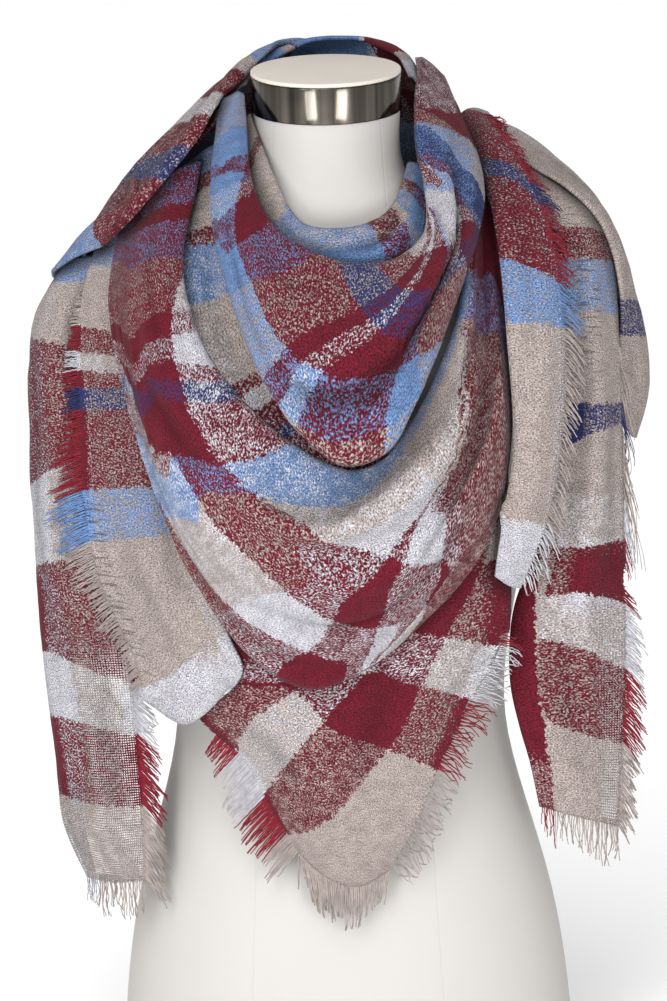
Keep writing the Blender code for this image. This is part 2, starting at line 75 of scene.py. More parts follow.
# the form's cross-sections: height, half width, front depth, back depth
FORM = (
    (0, 180, 114, 120),
    (60, 177, 112, 120),
    (140, 166, 104, 113),
    (215, 143, 92, 98),
    (280, 126, 85, 86),
    (340, 131, 92, 84),
    (410, 146, 107, 92),
    (470, 157, 116, 100),
    (530, 166, 110, 106),
    (590, 172, 94, 108),
    (630, 168, 78, 100),
    (655, 146, 68, 88),
    (674, 106, 60, 72),
    (692, 70, 57, 58),
    (712, 57, 57, 50),
    (734, 55, 60, 50),
)

# the cover's seam lines, in metres: their distance from the middle at the base, and how it changes
# for each metre up
SEAM_AT_BASE = 0.078
SEAM_TAPER = -0.05
SEAM_WIDTH = 0.0009

# ------------------------------------ how the layers lie (mm)
# the coarse net, and how finely the smooth lines through it are read
ROWS_PER_FOLD = 2
PATH_POINTS = 121
FEWEST_STEPS = 6
# a rolled lip: how far out it turns, its size at the sheet's ends, and how fast it grows from there,
# as shares of its radius
ROLL_OUT = 0.6
ROLL_AT_ENDS = 0.3
ROLL_GROWTH = 3.0
# how far apart the middles of two layers lie, coarse, and what is added to their thickness, fine, then
# both clearances from the form
COARSE_CLEARANCE = 3.8
FINE_MARGIN = 0.35
FORM_CLEARANCES = (1.9, 1.6)
RING_SIDES = 40
# how straight behind the nearest face a point has to be to count as inside it
BEHIND = 0.88
# low waves over all of the cloth: height, size and seed
WAVES = ((0.9, 38.0, 0), (0.35, 11.0, 7))
# creases: how finely their lines are read, how they fade out at their ends, and how wide the steep
# side and the whole of a fold are, as shares of its half width
CREASE_POINTS = 40
CREASE_FADE = 0.6
FOLD_STEEP_SIDE = 0.3
FOLD_WIDTH = 2.2
# the painted shade between layers: how far it reaches and where it is full, then the painted shade of a
# deep crease
SHADE_REACH = 15.0
SHADE_FULL = 5.0
DEEP_CREASE = 4.0
DEEP_CREASE_SHADE = 0.6

# ------------------------------------ the fringes' yarns (mm)
YARN_POINTS = 9
# how far inside the edge a yarn starts, how far it sags for its length, and how high it lies
YARN_ROOT = 5.0
YARN_SAG = 0.1
YARN_LIFT = 0.5
YARN_OVER_CLOTH = 0.9
TIP_THICKNESS = 0.55
# how unevenly the yarns stand, and their reach as shares of the table's: what the longest has, and how
# much shorter some are
YARN_JITTER = (0.2, 0.8)
YARN_REACH = 1.05
YARN_LOSS = 0.4
# clumps: their length along the edge, where along it the middle is, how far a yarn leans to it, their
# reach as shares of the table's, and how much shorter a tangled one is
CLUMP_SIZES = (3.0, 8.0)
CLUMP_MIDDLES = (0.2, 0.8)
CLUMP_PULL = 0.35
CLUMP_REACHES = (0.72, 1.06)
TANGLE_LOSS = 0.2
# curls: how far they turn along a yarn, their size as a share of the setting, and how far off the
# cloth the tip strays, then the small kinks
CURL_TURNS = (3.0, 9.0)
CURL_SIZES = (0.3, 1.6)
TIP_STRAY = (-0.3, 0.9)
KINK = 0.25
KINK_TURNS = 25.0

# ------------------------------------ the weave, on the threads
SPECK_STRETCH = (0.82, 1.0, 0.0)
SLIT_STRETCH = (60.0, 420.0, 0.0)
STRAND_STRETCH = (70.0, 620.0, 0.0)
LARGEST_DARK_BIAS = 0.06

# ------------------------------------ the stage (m)
CAMERA_AIM = (-0.002, 0.0, 0.453)
SENSOR_WIDTH = 36.0
SUN_DIRECTION = (0.12, 0.80, -1.30)
SUN_ANGLE = math.radians(50)
FLOOR_SIZE = 80.0

# ------------------------------------ the cloth's folds (mm)
# A row for each fold or level, and in it a place for each column, as x, z, f.

# columns: left end, left side, low left, low right, right side, right end
INNER_LOOP = (
    ((-59, 756, 14), (-45, 720, 48), (-22, 679, 76), (19, 675, 82), (50, 688, 62), (62, 716, 14)),
    ((-62, 746, 19), (-52, 709, 56), (-22, 667, 88), (22, 661, 97), (58, 674, 76), (69, 715, 16)),
    ((-65, 733, 22), (-57, 695, 60), (-27, 654, 93), (23, 643, 102), (66, 658, 80), (77, 708, 18)),
)
# columns: as above, then the nape
COWL = (
    ((-64, 771, 16), (-57, 705, 68), (-30, 668, 100), (29, 649, 114), (73, 672, 90), (70, 738, 32),
     (69, 792, -33)),
    ((-67, 773, 17), (-64, 695, 81), (-32, 642, 126), (33, 626, 142), (85, 666, 108), (84, 738, 28),
     (74, 792, -42)),
    ((-71, 771, 17), (-73, 686, 88), (-36, 611, 146), (32, 594, 162), (92, 658, 118), (97, 728, 28),
     (80, 788, -50)),
    ((-77, 768, 14), (-81, 679, 90), (-42, 581, 162), (34, 557, 180), (98, 651, 116), (111, 718, 33),
     (86, 782, -56)),
    ((-82, 761, 4), (-86, 677, 82), (-39, 552, 164), (34, 519, 184), (101, 645, 104), (117, 708, 35),
     (92, 775, -61)),
)
# columns: left end, left side, low left, low right, right side, right end
UNDER_FOLD = (
    ((-76, 738, 20), (-74, 659, 70), (-36, 562, 118), (38, 528, 130), (92, 597, 95), (96, 694, 36)),
    ((-91, 731, 16), (-92, 651, 66), (-54, 551, 114), (32, 507, 130), (96, 582, 92), (100, 692, 30)),
    ((-111, 716, 12), (-126, 636, 76), (-90, 528, 130), (16, 480, 142), (100, 565, 98), (104, 690, 22)),
)
# rows: upper lip, blue row, inner fold, valley, right roll, behind the roll, diagonal crease, hem
MAIN_SWAG = (
    ((-97, 721, 24), (-111, 635, 90), (-69, 552, 140), (23, 503, 152), (92, 603, 112), (108, 697, 44)),
    ((-112, 718, 32), (-125, 633, 100), (-88, 534, 150), (12, 486, 166), (98, 590, 124), (110, 697, 39)),
    ((-122, 713, 32), (-137, 626, 102), (-100, 514, 154), (6, 463, 176), (93, 533, 146), (112, 696, 34)),
    ((-128, 709, 30), (-143, 622, 99), (-108, 498, 152), (9, 445, 160), (104, 519, 128), (116, 694, 28)),
    ((-134, 705, 28), (-149, 617, 97), (-110, 477, 152), (21, 420, 164), (115, 527, 140), (120, 692, 24)),
    ((-138, 701, 24), (-155, 612, 94), (-110, 460, 150), (10, 390, 156), (120, 472, 124), (132, 640, 62)),
    ((-143, 696, 20), (-160, 607, 90), (-109, 443, 148), (-7, 364, 158), (104, 429, 132), (135, 540, 94)),
    ((-147, 687, 14), (-164, 601, 84), (-107, 422, 144), (-23, 340, 156), (68, 393, 138),
     (124, 466, 104)),
)
# columns: left edge, left of the middle, middle, right of the middle, right edge
BIB = (
    ((-116, 470, 102), (-74, 480, 122), (-3, 490, 127), (69, 500, 123), (130, 505, 90)),
    ((-123, 398, 104), (-74, 402, 131), (-3, 402, 136), (69, 406, 131), (130, 421, 98)),
    ((-117, 355, 104), (-68, 357, 133), (-4, 356, 139), (60, 361, 133), (127, 360, 102)),
    ((-113, 311, 104), (-63, 312, 132), (-5, 308, 137), (50, 311, 131), (102, 314, 108)),
    ((-78, 278, 110), (-44, 270, 129), (-6, 264, 133), (36, 268, 127), (76, 264, 112)),
    ((-60, 245, 113), (-33, 233, 124), (-6, 226, 127), (27, 226, 122), (58, 222, 112)),
    ((-35, 202, 113), (-18, 186, 117), (-2, 177, 119), (15, 176, 118), (34, 186, 112)),
)
# columns: raw edge, middle, edge under the swag
LEFT_PANEL = (
    ((-172, 676, 20), (-156, 680, 26), (-130, 684, 40)),
    ((-188, 630, 38), (-168, 629, 50), (-136, 631, 72)),
    ((-196, 585, 40), (-170, 583, 58), (-136, 585, 84)),
    ((-193, 536, 44), (-165, 537, 66), (-126, 538, 96)),
    ((-192, 459, 48), (-157, 459, 76), (-106, 460, 112)),
    ((-180, 396, 58), (-143, 396, 90), (-88, 395, 122)),
    ((-160, 352, 70), (-122, 349, 100), (-72, 352, 136)),
    ((-150, 314, 76), (-116, 302, 104), (-84, 333, 131)),
)
# columns: right and left of the nape, beside the neck, inner shoulder, outer shoulder, arm
LEFT_SHOULDER = (
    ((24, 778, -104), (-24, 782, -104), (-66, 766, -98), (-108, 738, -98), (-163, 690, -100),
     (-205, 618, -84)),
    ((26, 786, -98), (-24, 797, -92), (-68, 782, -70), (-112, 752, -42), (-177, 683, -40),
     (-208, 618, -62)),
    ((26, 793, -92), (-24, 801, -80), (-66, 790, -44), (-106, 749, 8), (-166, 684, 24),
     (-209, 622, -32)),
    ((24, 796, -86), (-20, 795, -67), (-60, 787, -24), (-97, 748, 33), (-148, 692, 54),
     (-205, 630, -6)),
)
# columns: inner edge, front, outermost, rear
LEFT_TAIL = (
    ((-148, 658, 10), (-172, 652, 14), (-199, 648, 2), (-194, 648, -56)),
    ((-169, 597, 34), (-203, 601, 34), (-229, 601, 2), (-219, 592, -64)),
    ((-172, 520, 44), (-204, 520, 42), (-236, 514, 0), (-226, 504, -64)),
    ((-173, 435, 50), (-202, 433, 48), (-234, 427, 8), (-227, 413, -55)),
    ((-161, 358, 58), (-197, 357, 56), (-231, 351, 15), (-222, 339, -40)),
    ((-156, 280, 62), (-189, 278, 58), (-224, 274, 25), (-212, 263, -20)),
    ((-153, 209, 66), (-185, 207, 62), (-218, 207, 32), (-206, 198, 0)),
    ((-154, 169, 66), (-178, 167, 62), (-201, 166, 40), (-198, 163, 15)),
)
# columns: inner edge, middle, raw edge
RIGHT_FRONT = (
    ((97, 741, -36), (111, 751, -44), (126, 747, -46)),
    ((107, 729, 0), (120, 738, 4), (133, 739, 0)),
    ((118, 706, 31), (134, 713, 39), (150, 711, 30)),
    ((124, 677, 59), (143, 679, 66), (164, 679, 52)),
    ((128, 639, 85), (149, 638, 89), (171, 638, 74)),
    ((130, 589, 102), (150, 589, 104), (176, 586, 88)),
    ((130, 530, 110), (151, 530, 111), (173, 523, 95)),
    ((127, 474, 116), (145, 472, 116), (163, 467, 102)),
    ((122, 440, 116), (138, 436, 112), (152, 432, 104)),
    ((118, 412, 114), (128, 404, 108), (138, 400, 100)),
)
# columns: inner edge, middle, raw edge
RIGHT_TAIL = (
    ((123, 739, -41), (141, 734, -47), (160, 721, -51)),
    ((134, 716, -2), (148, 714, 0), (166, 704, -6)),
    ((161, 679, 30), (183, 680, 32), (206, 673, 14)),
    ((169, 635, 48), (193, 635, 50), (217, 628, 26)),
    ((170, 575, 60), (195, 575, 62), (219, 570, 38)),
    ((169, 523, 66), (196, 522, 68), (220, 518, 44)),
    ((159, 447, 72), (191, 446, 74), (220, 441, 48)),
    ((134, 382, 78), (175, 382, 80), (221, 379, 52)),
    ((130, 320, 80), (172, 319, 80), (221, 316, 54)),
    ((144, 259, 78), (179, 258, 78), (217, 253, 56)),
    ((151, 223, 74), (182, 213, 74), (213, 201, 58)),
)
# columns: front, outermost, rear
RIGHT_OUTER = (
    ((122, 728, -6), (124, 734, -34), (114, 736, -62)),
    ((156, 702, 10), (168, 712, -24), (158, 714, -72)),
    ((194, 668, 18), (210, 677, -14), (200, 675, -74)),
    ((212, 620, 22), (233, 618, -8), (218, 614, -72)),
    ((218, 569, 24), (244, 565, -4), (226, 557, -66)),
    ((219, 530, 26), (243, 530, 0), (231, 516, -56)),
    ((224, 510, 22), (233, 498, 8), (235, 504, -30)),
)
# columns: left front, shoulder, blade, left of the spine, right of it, blade, shoulder, right front
BACK_WRAP = (
    ((-64, 776, -16), (-58, 789, -39), (-36, 800, -61), (-13, 807, -71),
     (15, 808, -72), (38, 806, -64), (60, 796, -40), (66, 780, -16)),
    ((-88, 746, -20), (-84, 758, -60), (-58, 764, -86), (-20, 770, -96),
     (20, 770, -96), (60, 764, -86), (88, 756, -60), (94, 742, -20)),
    ((-130, 702, -14), (-136, 708, -76), (-92, 708, -110), (-32, 710, -122),
     (32, 710, -122), (92, 708, -110), (138, 708, -76), (136, 702, -14)),
    ((-184, 640, -12), (-184, 640, -86), (-128, 636, -126), (-44, 630, -140),
     (44, 630, -140), (128, 636, -126), (184, 640, -86), (188, 640, -12)),
    ((-206, 560, -20), (-204, 560, -84), (-150, 552, -134), (-52, 542, -152),
     (52, 542, -152), (150, 552, -134), (206, 560, -84), (208, 560, -20)),
    ((-206, 500, -26), (-206, 500, -82), (-156, 480, -134), (-58, 462, -154),
     (58, 462, -154), (156, 480, -134), (210, 500, -82), (208, 500, -26)),
)
# columns: left shoulder, left blade, left of the spine, right of it, right blade, right shoulder
BACK_SWAG = (
    ((-112, 730, -88), (-80, 717, -115), (-28, 703, -126), (30, 701, -126), (84, 717, -114),
     (122, 736, -84)),
    ((-150, 688, -95), (-106, 678, -137), (-36, 660, -152), (38, 658, -152), (110, 678, -136),
     (160, 696, -92)),
    ((-192, 644, -94), (-134, 626, -146), (-46, 598, -164), (48, 596, -164), (136, 624, -146),
     (194, 646, -96)),
    ((-208, 592, -98), (-150, 568, -148), (-54, 534, -168), (56, 532, -168), (152, 566, -148),
     (210, 598, -98)),
)

# the stretches of the scarf, innermost first: folds, columns of its first coarse net, how far its
# upper and its lower edge roll in, and what it lies on
Sheet = namedtuple("Sheet", "folds columns top_roll bottom_roll lies_on")
SHEETS = {
    "back_wrap": Sheet(BACK_WRAP, 20, 7.0, 0.0, ("form",)),
    "back_swag": Sheet(BACK_SWAG, 20, 0.0, 6.0, ("form", "back_wrap")),
    "right_tail": Sheet(RIGHT_TAIL, 6, 0.0, 0.0, ("form", "back_wrap", "back_swag")),
    "right_outer": Sheet(RIGHT_OUTER, 8, 0.0, 0.0, ("form", "back_wrap", "back_swag", "right_tail")),
    "left_tail": Sheet(LEFT_TAIL, 9, 0.0, 0.0, ("form", "back_wrap", "back_swag")),
    "bib": Sheet(BIB, 12, 0.0, 0.0, ("form",)),
    "left_panel": Sheet(LEFT_PANEL, 7, 0.0, 0.0, ("form", "back_wrap", "left_tail", "bib")),
    "inner_loop": Sheet(INNER_LOOP, 16, 5.0, 0.0, ("form", "back_wrap")),
    "under_fold": Sheet(UNDER_FOLD, 16, 0.0, 0.0, ("form", "back_wrap", "inner_loop")),
    "main_swag": Sheet(MAIN_SWAG, 22, 6.0, 6.0,
                       ("form", "back_wrap", "left_tail", "bib", "left_panel", "inner_loop",
                        "under_fold")),
    "right_front": Sheet(RIGHT_FRONT, 6, 0.0, 0.0,
                         ("form", "back_wrap", "back_swag", "right_tail", "right_outer", "bib",
                          "main_swag")),
    "cowl": Sheet(COWL, 20, 5.0, 6.0,
                  ("form", "back_wrap", "inner_loop", "under_fold", "main_swag", "right_front")),
    "left_shoulder": Sheet(LEFT_SHOULDER, 18, 0.0, 5.0,
                           ("form", "back_wrap", "back_swag", "left_tail", "left_panel",
                            "under_fold", "main_swag", "cowl")),
}

# the fringes: name, sheet, side, over which part of that side, how far the yarns reach along it,
# how much they droop at its start and its end, how tangled they are, from which stripes they come,
# how far apart they are and how thick (mm), and what they lie on
Fringe = namedtuple("Fringe", "name sheet side start end reaches droop tangle stripes pitch thickness"
                              " lies_on")
FRINGES = (
    Fringe("bib_fringe_left", "bib", "left and bottom", 0.49, 1.0, (20, 30, 35, 36, 35, 33, 31, 28),
           (0.50, 0.66), 0.16, "warp", 1.15, 1.7, ()),
    Fringe("bib_fringe_right", "bib", "right", 0.41, 0.99, (15, 20, 22, 19, 22, 24, 22),
           (0.15, 0.55), 0.80, "weft", 1.5, 1.4, ()),
    Fringe("panel_fringe", "left_panel", "left", 0.16, 1.0, (5, 8, 12, 18, 28, 36, 30, 20, 16, 15, 12),
           (0.05, 0.45), 0.22, "weft", 1.15, 1.7, ("left_tail",)),
    Fringe("front_fringe", "right_front", "right", 0.03, 0.99,
           (7, 9, 11, 16, 24, 12, 26, 20, 18, 16, 20, 22, 18),
           (0.20, 0.45), 1.2, "weft", 1.4, 1.4, ("right_tail", "right_outer")),
    Fringe("left_tail_fringe", "left_tail", "left", 0.66, 1.0, (14, 22, 26, 27, 28),
           (0.45, 0.60), 0.40, "weft", 1.3, 1.6, ()),
    Fringe("left_tail_end", "left_tail", "bottom", 0.0, 0.72, (24, 26, 24, 16),
           (0.86, 0.86), 0.50, "warp", 1.5, 1.3, ()),
    Fringe("right_tail_fringe", "right_tail", "right", 0.68, 1.0, (14, 26, 30, 26, 20),
           (0.42, 0.55), 0.45, "weft", 1.4, 1.5, ()),
    Fringe("right_tail_end", "right_tail", "bottom", 0.02, 1.0, (22, 28, 30, 26),
           (0.86, 0.86), 0.45, "warp", 1.5, 1.3, ()),
    Fringe("right_side_fringe", "right_tail", "right", 0.36, 0.64, (24, 60, 70, 52, 22),
           (0.72, 0.86), 1.6, "weft", 2.4, 1.1, ()),
)

# the stripes of each stretch, warp then weft.  A band is its colour and where it ends: warp bands
# end at a u, read at evenly spaced stations from v = 0 to 1, and weft bands end at a v, read at
# evenly spaced stations from u = 0 to 1.  One end holds for all stations, the last band has none, and
# a band that ends before its sheet begins isn't seen at that station.
STRIPES = {
    "main_swag": (
        (("blue", .066, .055, .046, .04, .035, .03, .026, .026, .026),
         ("burgundy", .09, .075, .065, .055, .05, .045, .04, .04, .04),
         ("blue", .15, .125, .11, .10, .095, .09, .09, .09, .09),
         ("beige", .23, .195, .18, .175, .17, .17, .17, .17, .17),
         ("burgundy", .26, .225, .205, .20, .20, .195, .19, .19, .19),
         ("lavender", .32, .255, .228, .22, .22, .215, .215, .21, .21),
         ("burgundy", .34, .28, .24, .225, .225, .225, .225, .23, .23),
         ("navy", .37, .305, .26, .25, .25, .25, .25, .25, .25),
         ("burgundy", .46, .40, .33, .315, .31, .305, .30, .30, .30),
         ("blue", 1.0, .50, .38, .365, .36, .37, .385, .395, .41),
         ("beige", .76, .74, .495, .49, .475, .48, .50, .52, .53),
         ("lavender", .80, .77, .64, .54, .54, .565, .595, .61, .64),
         ("burgundy", .80, .77, .64, .58, .59, .62, .66, .70, .75),
         ("lavender", .80, .77, .64, .64, .655, .68, .72, .765, .81),
         ("burgundy", 1.6, 1.6, 1.6, 1.1, 1.0, .90, .86, .86, .88),
         ("beige",)),
        (("navy", -9, -8, -7, -6, -5, -4, -3, -2, -1.5, -.6, .45),
         ("burgundy", -9, -8, -7, -6, -5, -4, -3, -2, -1, .29, 1.2),
         ("blue", -9, -8, -7, -6, -5, -4, -3, -1, -.05, .9, 1.4),
         ("beige", -9, -8, -7, -6, -5, -3, -.3, .6, 1.3, 1.6, 1.8),
         ("lavender", -.2, -.2, .06, .125, .165, .215, .40, .62, 1.3, 1.6, 1.8),
         ("burgundy", 1.1, 1.1, .97, .32, .34, .48, .63, .79, 1.3, 1.6, 1.8),
         ("lavender", 1.2, 1.2, 1.15, 1.05, .92, .84, .80, .93, 1.3, 1.6, 1.8),
         ("burgundy",)),
    ),
    "cowl": (
        (("beige", .07, .06, .06, .05, .05, .05, .05, .05, .05),
         ("blue", .125, .12, .11, .105, .10, .10, .09, .085, .08),
         ("burgundy", .165, .15, .14, .125, .115, .11, .105, .10, .10),
         ("blue", .175, .165, .155, .145, .14, .13, .125, .12, .12),
         ("lavender", .195, .19, .18, .175, .17, .165, .16, .15, .145),
         ("burgundy", .27, .26, .245, .235, .22, .21, .20, .17, .16),
         ("blue", .37, .345, .32, .295, .275, .26, .25, .235, .225),
         ("beige", .66, .56, .47, .41, .38, .365, .35, .34, .33),
         ("burgundy", .66, .60, .54, .45, .41, .39, .38, .37, .36),
         ("lavender", .66, .62, .57, .50, .43, .41, .40, .39, .38),
         ("burgundy", .66, .64, .63, .62, .58, .52, .495, .49, .49),
         ("blue", .66, .645, .635, .625, .59, .55, .55, .555, .56),
         ("beige", .66, .655, .645, .64, .64, .66, .68, .69, .69),
         ("lavender", .74, .74, .74, .73, .70, .66, .68, .69, .69),
         ("burgundy", .76, .76, .76, .755, .74, .73, .73, .73, .73),
         ("navy", .83, .83, .82, .81, .80, .80, .795, .79, .79),
         ("beige", .865),
         ("burgundy",)),
        (("lavender", -9, -8, -7, -6, -5, -4, -3, -2.5, -1.5, .45, 1.2),
         ("burgundy", -9, -8, -7, -6, -5, -4, -3, .13, -.5, 1.2, 1.5),
         ("blue", -9, -8, -7, -6, -5, -4, -1.5, .14, 1.2, 1.3, 1.6),
         ("lavender", -9, -8, -7, -6, -5, -.6, .27, .50, 1.2, 1.4, 1.6),
         ("burgundy", -5, -4, -3, -2, -.8, .15, .50, .64, 1.2, 1.4, 1.6),
         ("navy", -4, -3, -2, -1, -.12, .48, .52, .80, 1.2, 1.4, 1.6),
         ("burgundy", -.2, -.2, .42, .50, .585, .60, .85, 1.15, 1.3, 1.5, 1.7),
         ("blue", 1.2, 1.2, 1.2, 1.0, .90, .85, 1.0, 1.3, 1.4, 1.6, 1.8),
         ("beige",)),
    ),
    "bib": (
        (("burgundy", .75, .66, .58, .46, .35, .15, -.05, -.15, -.25),
         ("lavender", .95, .80, .70, .64, .53, .40, .18, -.05, -.15),
         ("burgundy", 1.05, .98, .91, .80, .76, .74, .60, .32, -.25),
         ("beige",)),
        (("beige", .24, .24, .24, .24, .24, .24, .24, .24, .25, .25, .25),
         ("burgundy", .42, .42, .42, .42, .40, .38, .37, .37, .395, .415, .43),
         ("lavender", .48, .48, .48, .48, .48, .46, .455, .49, .51, .54, .57),
         ("burgundy", .48, .48, .48, .48, .51, .59, .63, .66, .69, .71, .73),
         ("beige",)),
    ),
    "left_shoulder": (
        (("burgundy", .03),
         ("blue", .27, .27, .27, .265, .26),
         ("beige", .34, .34, .335, .32, .305),
         ("burgundy", .455, .445, .43, .41, .38),
         ("lavender", .53, .525, .51, .48, .45),
         ("burgundy", .655, .635, .61, .565, .53),
         ("navy", .70, .685, .665, .635, .61),
         ("burgundy", .85, .85, .84, .84, .83),
         ("blue", 1.1, 1.1, 1.06, 1.03, .99),
         ("beige",)),
        (("lavender", .5), ("beige",)),
    ),
    "under_fold": (
        (("blue", .04), ("burgundy", .06), ("beige", .135, .12, .11), ("burgundy", .17, .14, .13),
         ("blue", .24, .22, .20), ("beige", .37, .345, .32), ("burgundy", .39, .365, .35),
         ("lavender", .42, .39, .37), ("burgundy", .45, .43, .40), ("navy", .48, .445, .42),
         ("burgundy", .60, .58, .56), ("beige", .75, .74, .73), ("blue",)),
        (("beige", .4), ("lavender",)),
    ),
    "inner_loop": (
        (("beige", .10), ("burgundy", .13), ("beige", .35, .31, .25), ("blue", .65, .64, .62),
         ("burgundy", .76, .73, .70), ("beige", .78, .76, .74), ("blue", .86, .85, .84),
         ("burgundy", .91), ("blue",)),
        (("beige", 1.2, 1.1, .45, .40, .30), ("blue", 1.3, 1.2, 1.1, .9, .9), ("lavender",)),
    ),
    "left_panel": (
        (("beige", .80, .85, .9), ("lavender",)),
        (("blue", .10, .10, .11), ("beige", .23), ("burgundy", .28), ("lavender", .315),
         ("burgundy", .35, .345, .34), ("navy", .39, .385, .38), ("burgundy", .555, .54, .53),
         ("blue", .66, .64, .61), ("beige", .97, .90, .82), ("lavender",)),
    ),
    "left_tail": (
        (("beige", .34, .34, .34, .34, .34, .34, .34, .40, .50),
         ("lavender", 1.3, 1.3, 1.25, 1.15, .95, .72, .66, .70, .80),
         ("burgundy",)),
        (("blue", .05, .05, .04), ("beige", .155, .15, .15), ("burgundy", .32, .37, .42),
         ("lavender", .48, .50, .51), ("burgundy", .69, .64, .64), ("lavender", .77, .74, .74),
         ("burgundy", .88, .87, .86), ("beige",)),
    ),
    "right_front": (
        (("beige", .8), ("lavender",)),
        (("beige", -.10, .0, .03), ("burgundy", .17, .20, .26), ("navy", .215, .24, .30),
         ("burgundy", .40, .42, .455), ("blue", .52, .52, .53), ("beige", .88), ("lavender",)),
    ),
    "right_tail": (
        (("burgundy", -.1, -.1, -.1, .20, .18), ("beige",)),
        (("beige", .21), ("burgundy", .25), ("blue", .32), ("beige", .44), ("navy", .505, .475, .465),
         ("beige", .56), ("lavender", .63, .63, .62), ("burgundy", .70, .69, .71),
         ("lavender", .74, .76, .80), ("burgundy", .84, .88, .90), ("beige",)),
    ),
    "right_outer": (
        (("beige", .5), ("lavender",)),
        (("beige", .63), ("navy", .73), ("beige",)),
    ),
    "back_wrap": (
        (("beige", .08, .06, .06, .06, .06), ("burgundy", .08, .12, .12, .12, .12),
         ("blue", .30, .20, .20, .20, .20), ("beige", .345, .30, .30, .30, .30),
         ("lavender", .345, .36, .36, .36, .36), ("burgundy", .345, .46, .46, .46, .46),
         ("blue", .655, .62, .62, .62, .62), ("lavender", .655, .72, .72, .72, .72),
         ("burgundy", .85, .80, .80, .80, .80), ("beige", .90), ("lavender",)),
        (("blue", .07), ("beige", .12), ("burgundy", .22), ("blue", .42), ("lavender", .52),
         ("beige", .72), ("burgundy", .9), ("lavender",)),
    ),
    "back_swag": (
        (("burgundy", .10), ("beige", .26), ("blue", .36), ("burgundy", .52), ("lavender", .62),
         ("beige", .78), ("burgundy", .9), ("blue",)),
        (("lavender", .18), ("burgundy", .5), ("beige", .8), ("burgundy",)),
    ),
}

# soft-edged places of a sheet: what shows there, how strongly, from u, to u, from v, to v, softness
PATCHES = {
    "main_swag": (
        ("weft", .03, .0, .34, -.2, 1.0, .05),
    ),
    "cowl": (
        ("weft", .02, .15, .5, -.2, .6, .05),
        ("warp", .14, .74, .90, .70, 1.3, .10),
    ),
    "bib": (
        ("frayed", 1.0, -.1, .015, .44, 1.3, .03),
        ("frayed", 1.0, .97, 1.2, .40, 1.3, .06),
        ("warp", .30, -.1, .05, .4, 1.1, .04),
        ("weft", .20, .93, 1.1, .2, 1.1, .06),
    ),
    "left_panel": (
        ("frayed", 1.0, -.2, .015, .16, 1.3, .05),
        ("weft", .35, -.1, .05, .2, 1.1, .06),
        ("weft", .30, -.1, 1.1, .89, 1.3, .04),
        ("slits", .6, -.1, .20, .56, .95, .10),
    ),
    "left_tail": (
        ("frayed", 1.0, -.1, .012, .62, 1.3, .03),
        ("weft", .05, .36, 1.1, -.1, .50, .10),
        ("weft", .45, .55, 1.1, .55, .86, .08),
        ("weft", .3, -.1, .06, .4, 1.1, .06),
        ("gauze", 1.0, -.1, .34, .62, 1.1, .10),
        ("gauze", 1.0, -.1, 1.1, .86, 1.1, .06),
    ),
    "right_front": (
        ("frayed", 1.0, .96, 1.2, -.1, 1.3, .12),
        ("weft", .06, -.1, 1.1, -.1, 1.1, .05),
        ("weft", .40, -.1, 1.1, .86, 1.1, .05),
        ("gauze", .8, .90, 1.1, .45, .80, .10),
    ),
    "right_tail": (
        ("frayed", 1.0, .985, 1.2, .66, 1.3, .05),
        ("slits", .6, -.1, .60, .08, .42, .12),
        ("warp", .50, -.1, .20, .66, .90, .06),
        ("gauze", .8, .70, 1.1, .76, 1.1, .20),
        ("weft", .40, .42, 1.1, .64, .70, .05),
        ("weft", .40, .10, .34, .44, .51, .03),
    ),
    "back_wrap": (
        ("warp", .22, -.1, 1.1, -.1, .08, .05),
    ),
    "left_shoulder": (
        ("warp", .06, -.1, 1.1, -.1, 1.1, .05),
    ),
    "under_fold": (
        ("warp", .03, -.1, 1.1, -.1, 1.1, .05),
    ),
}

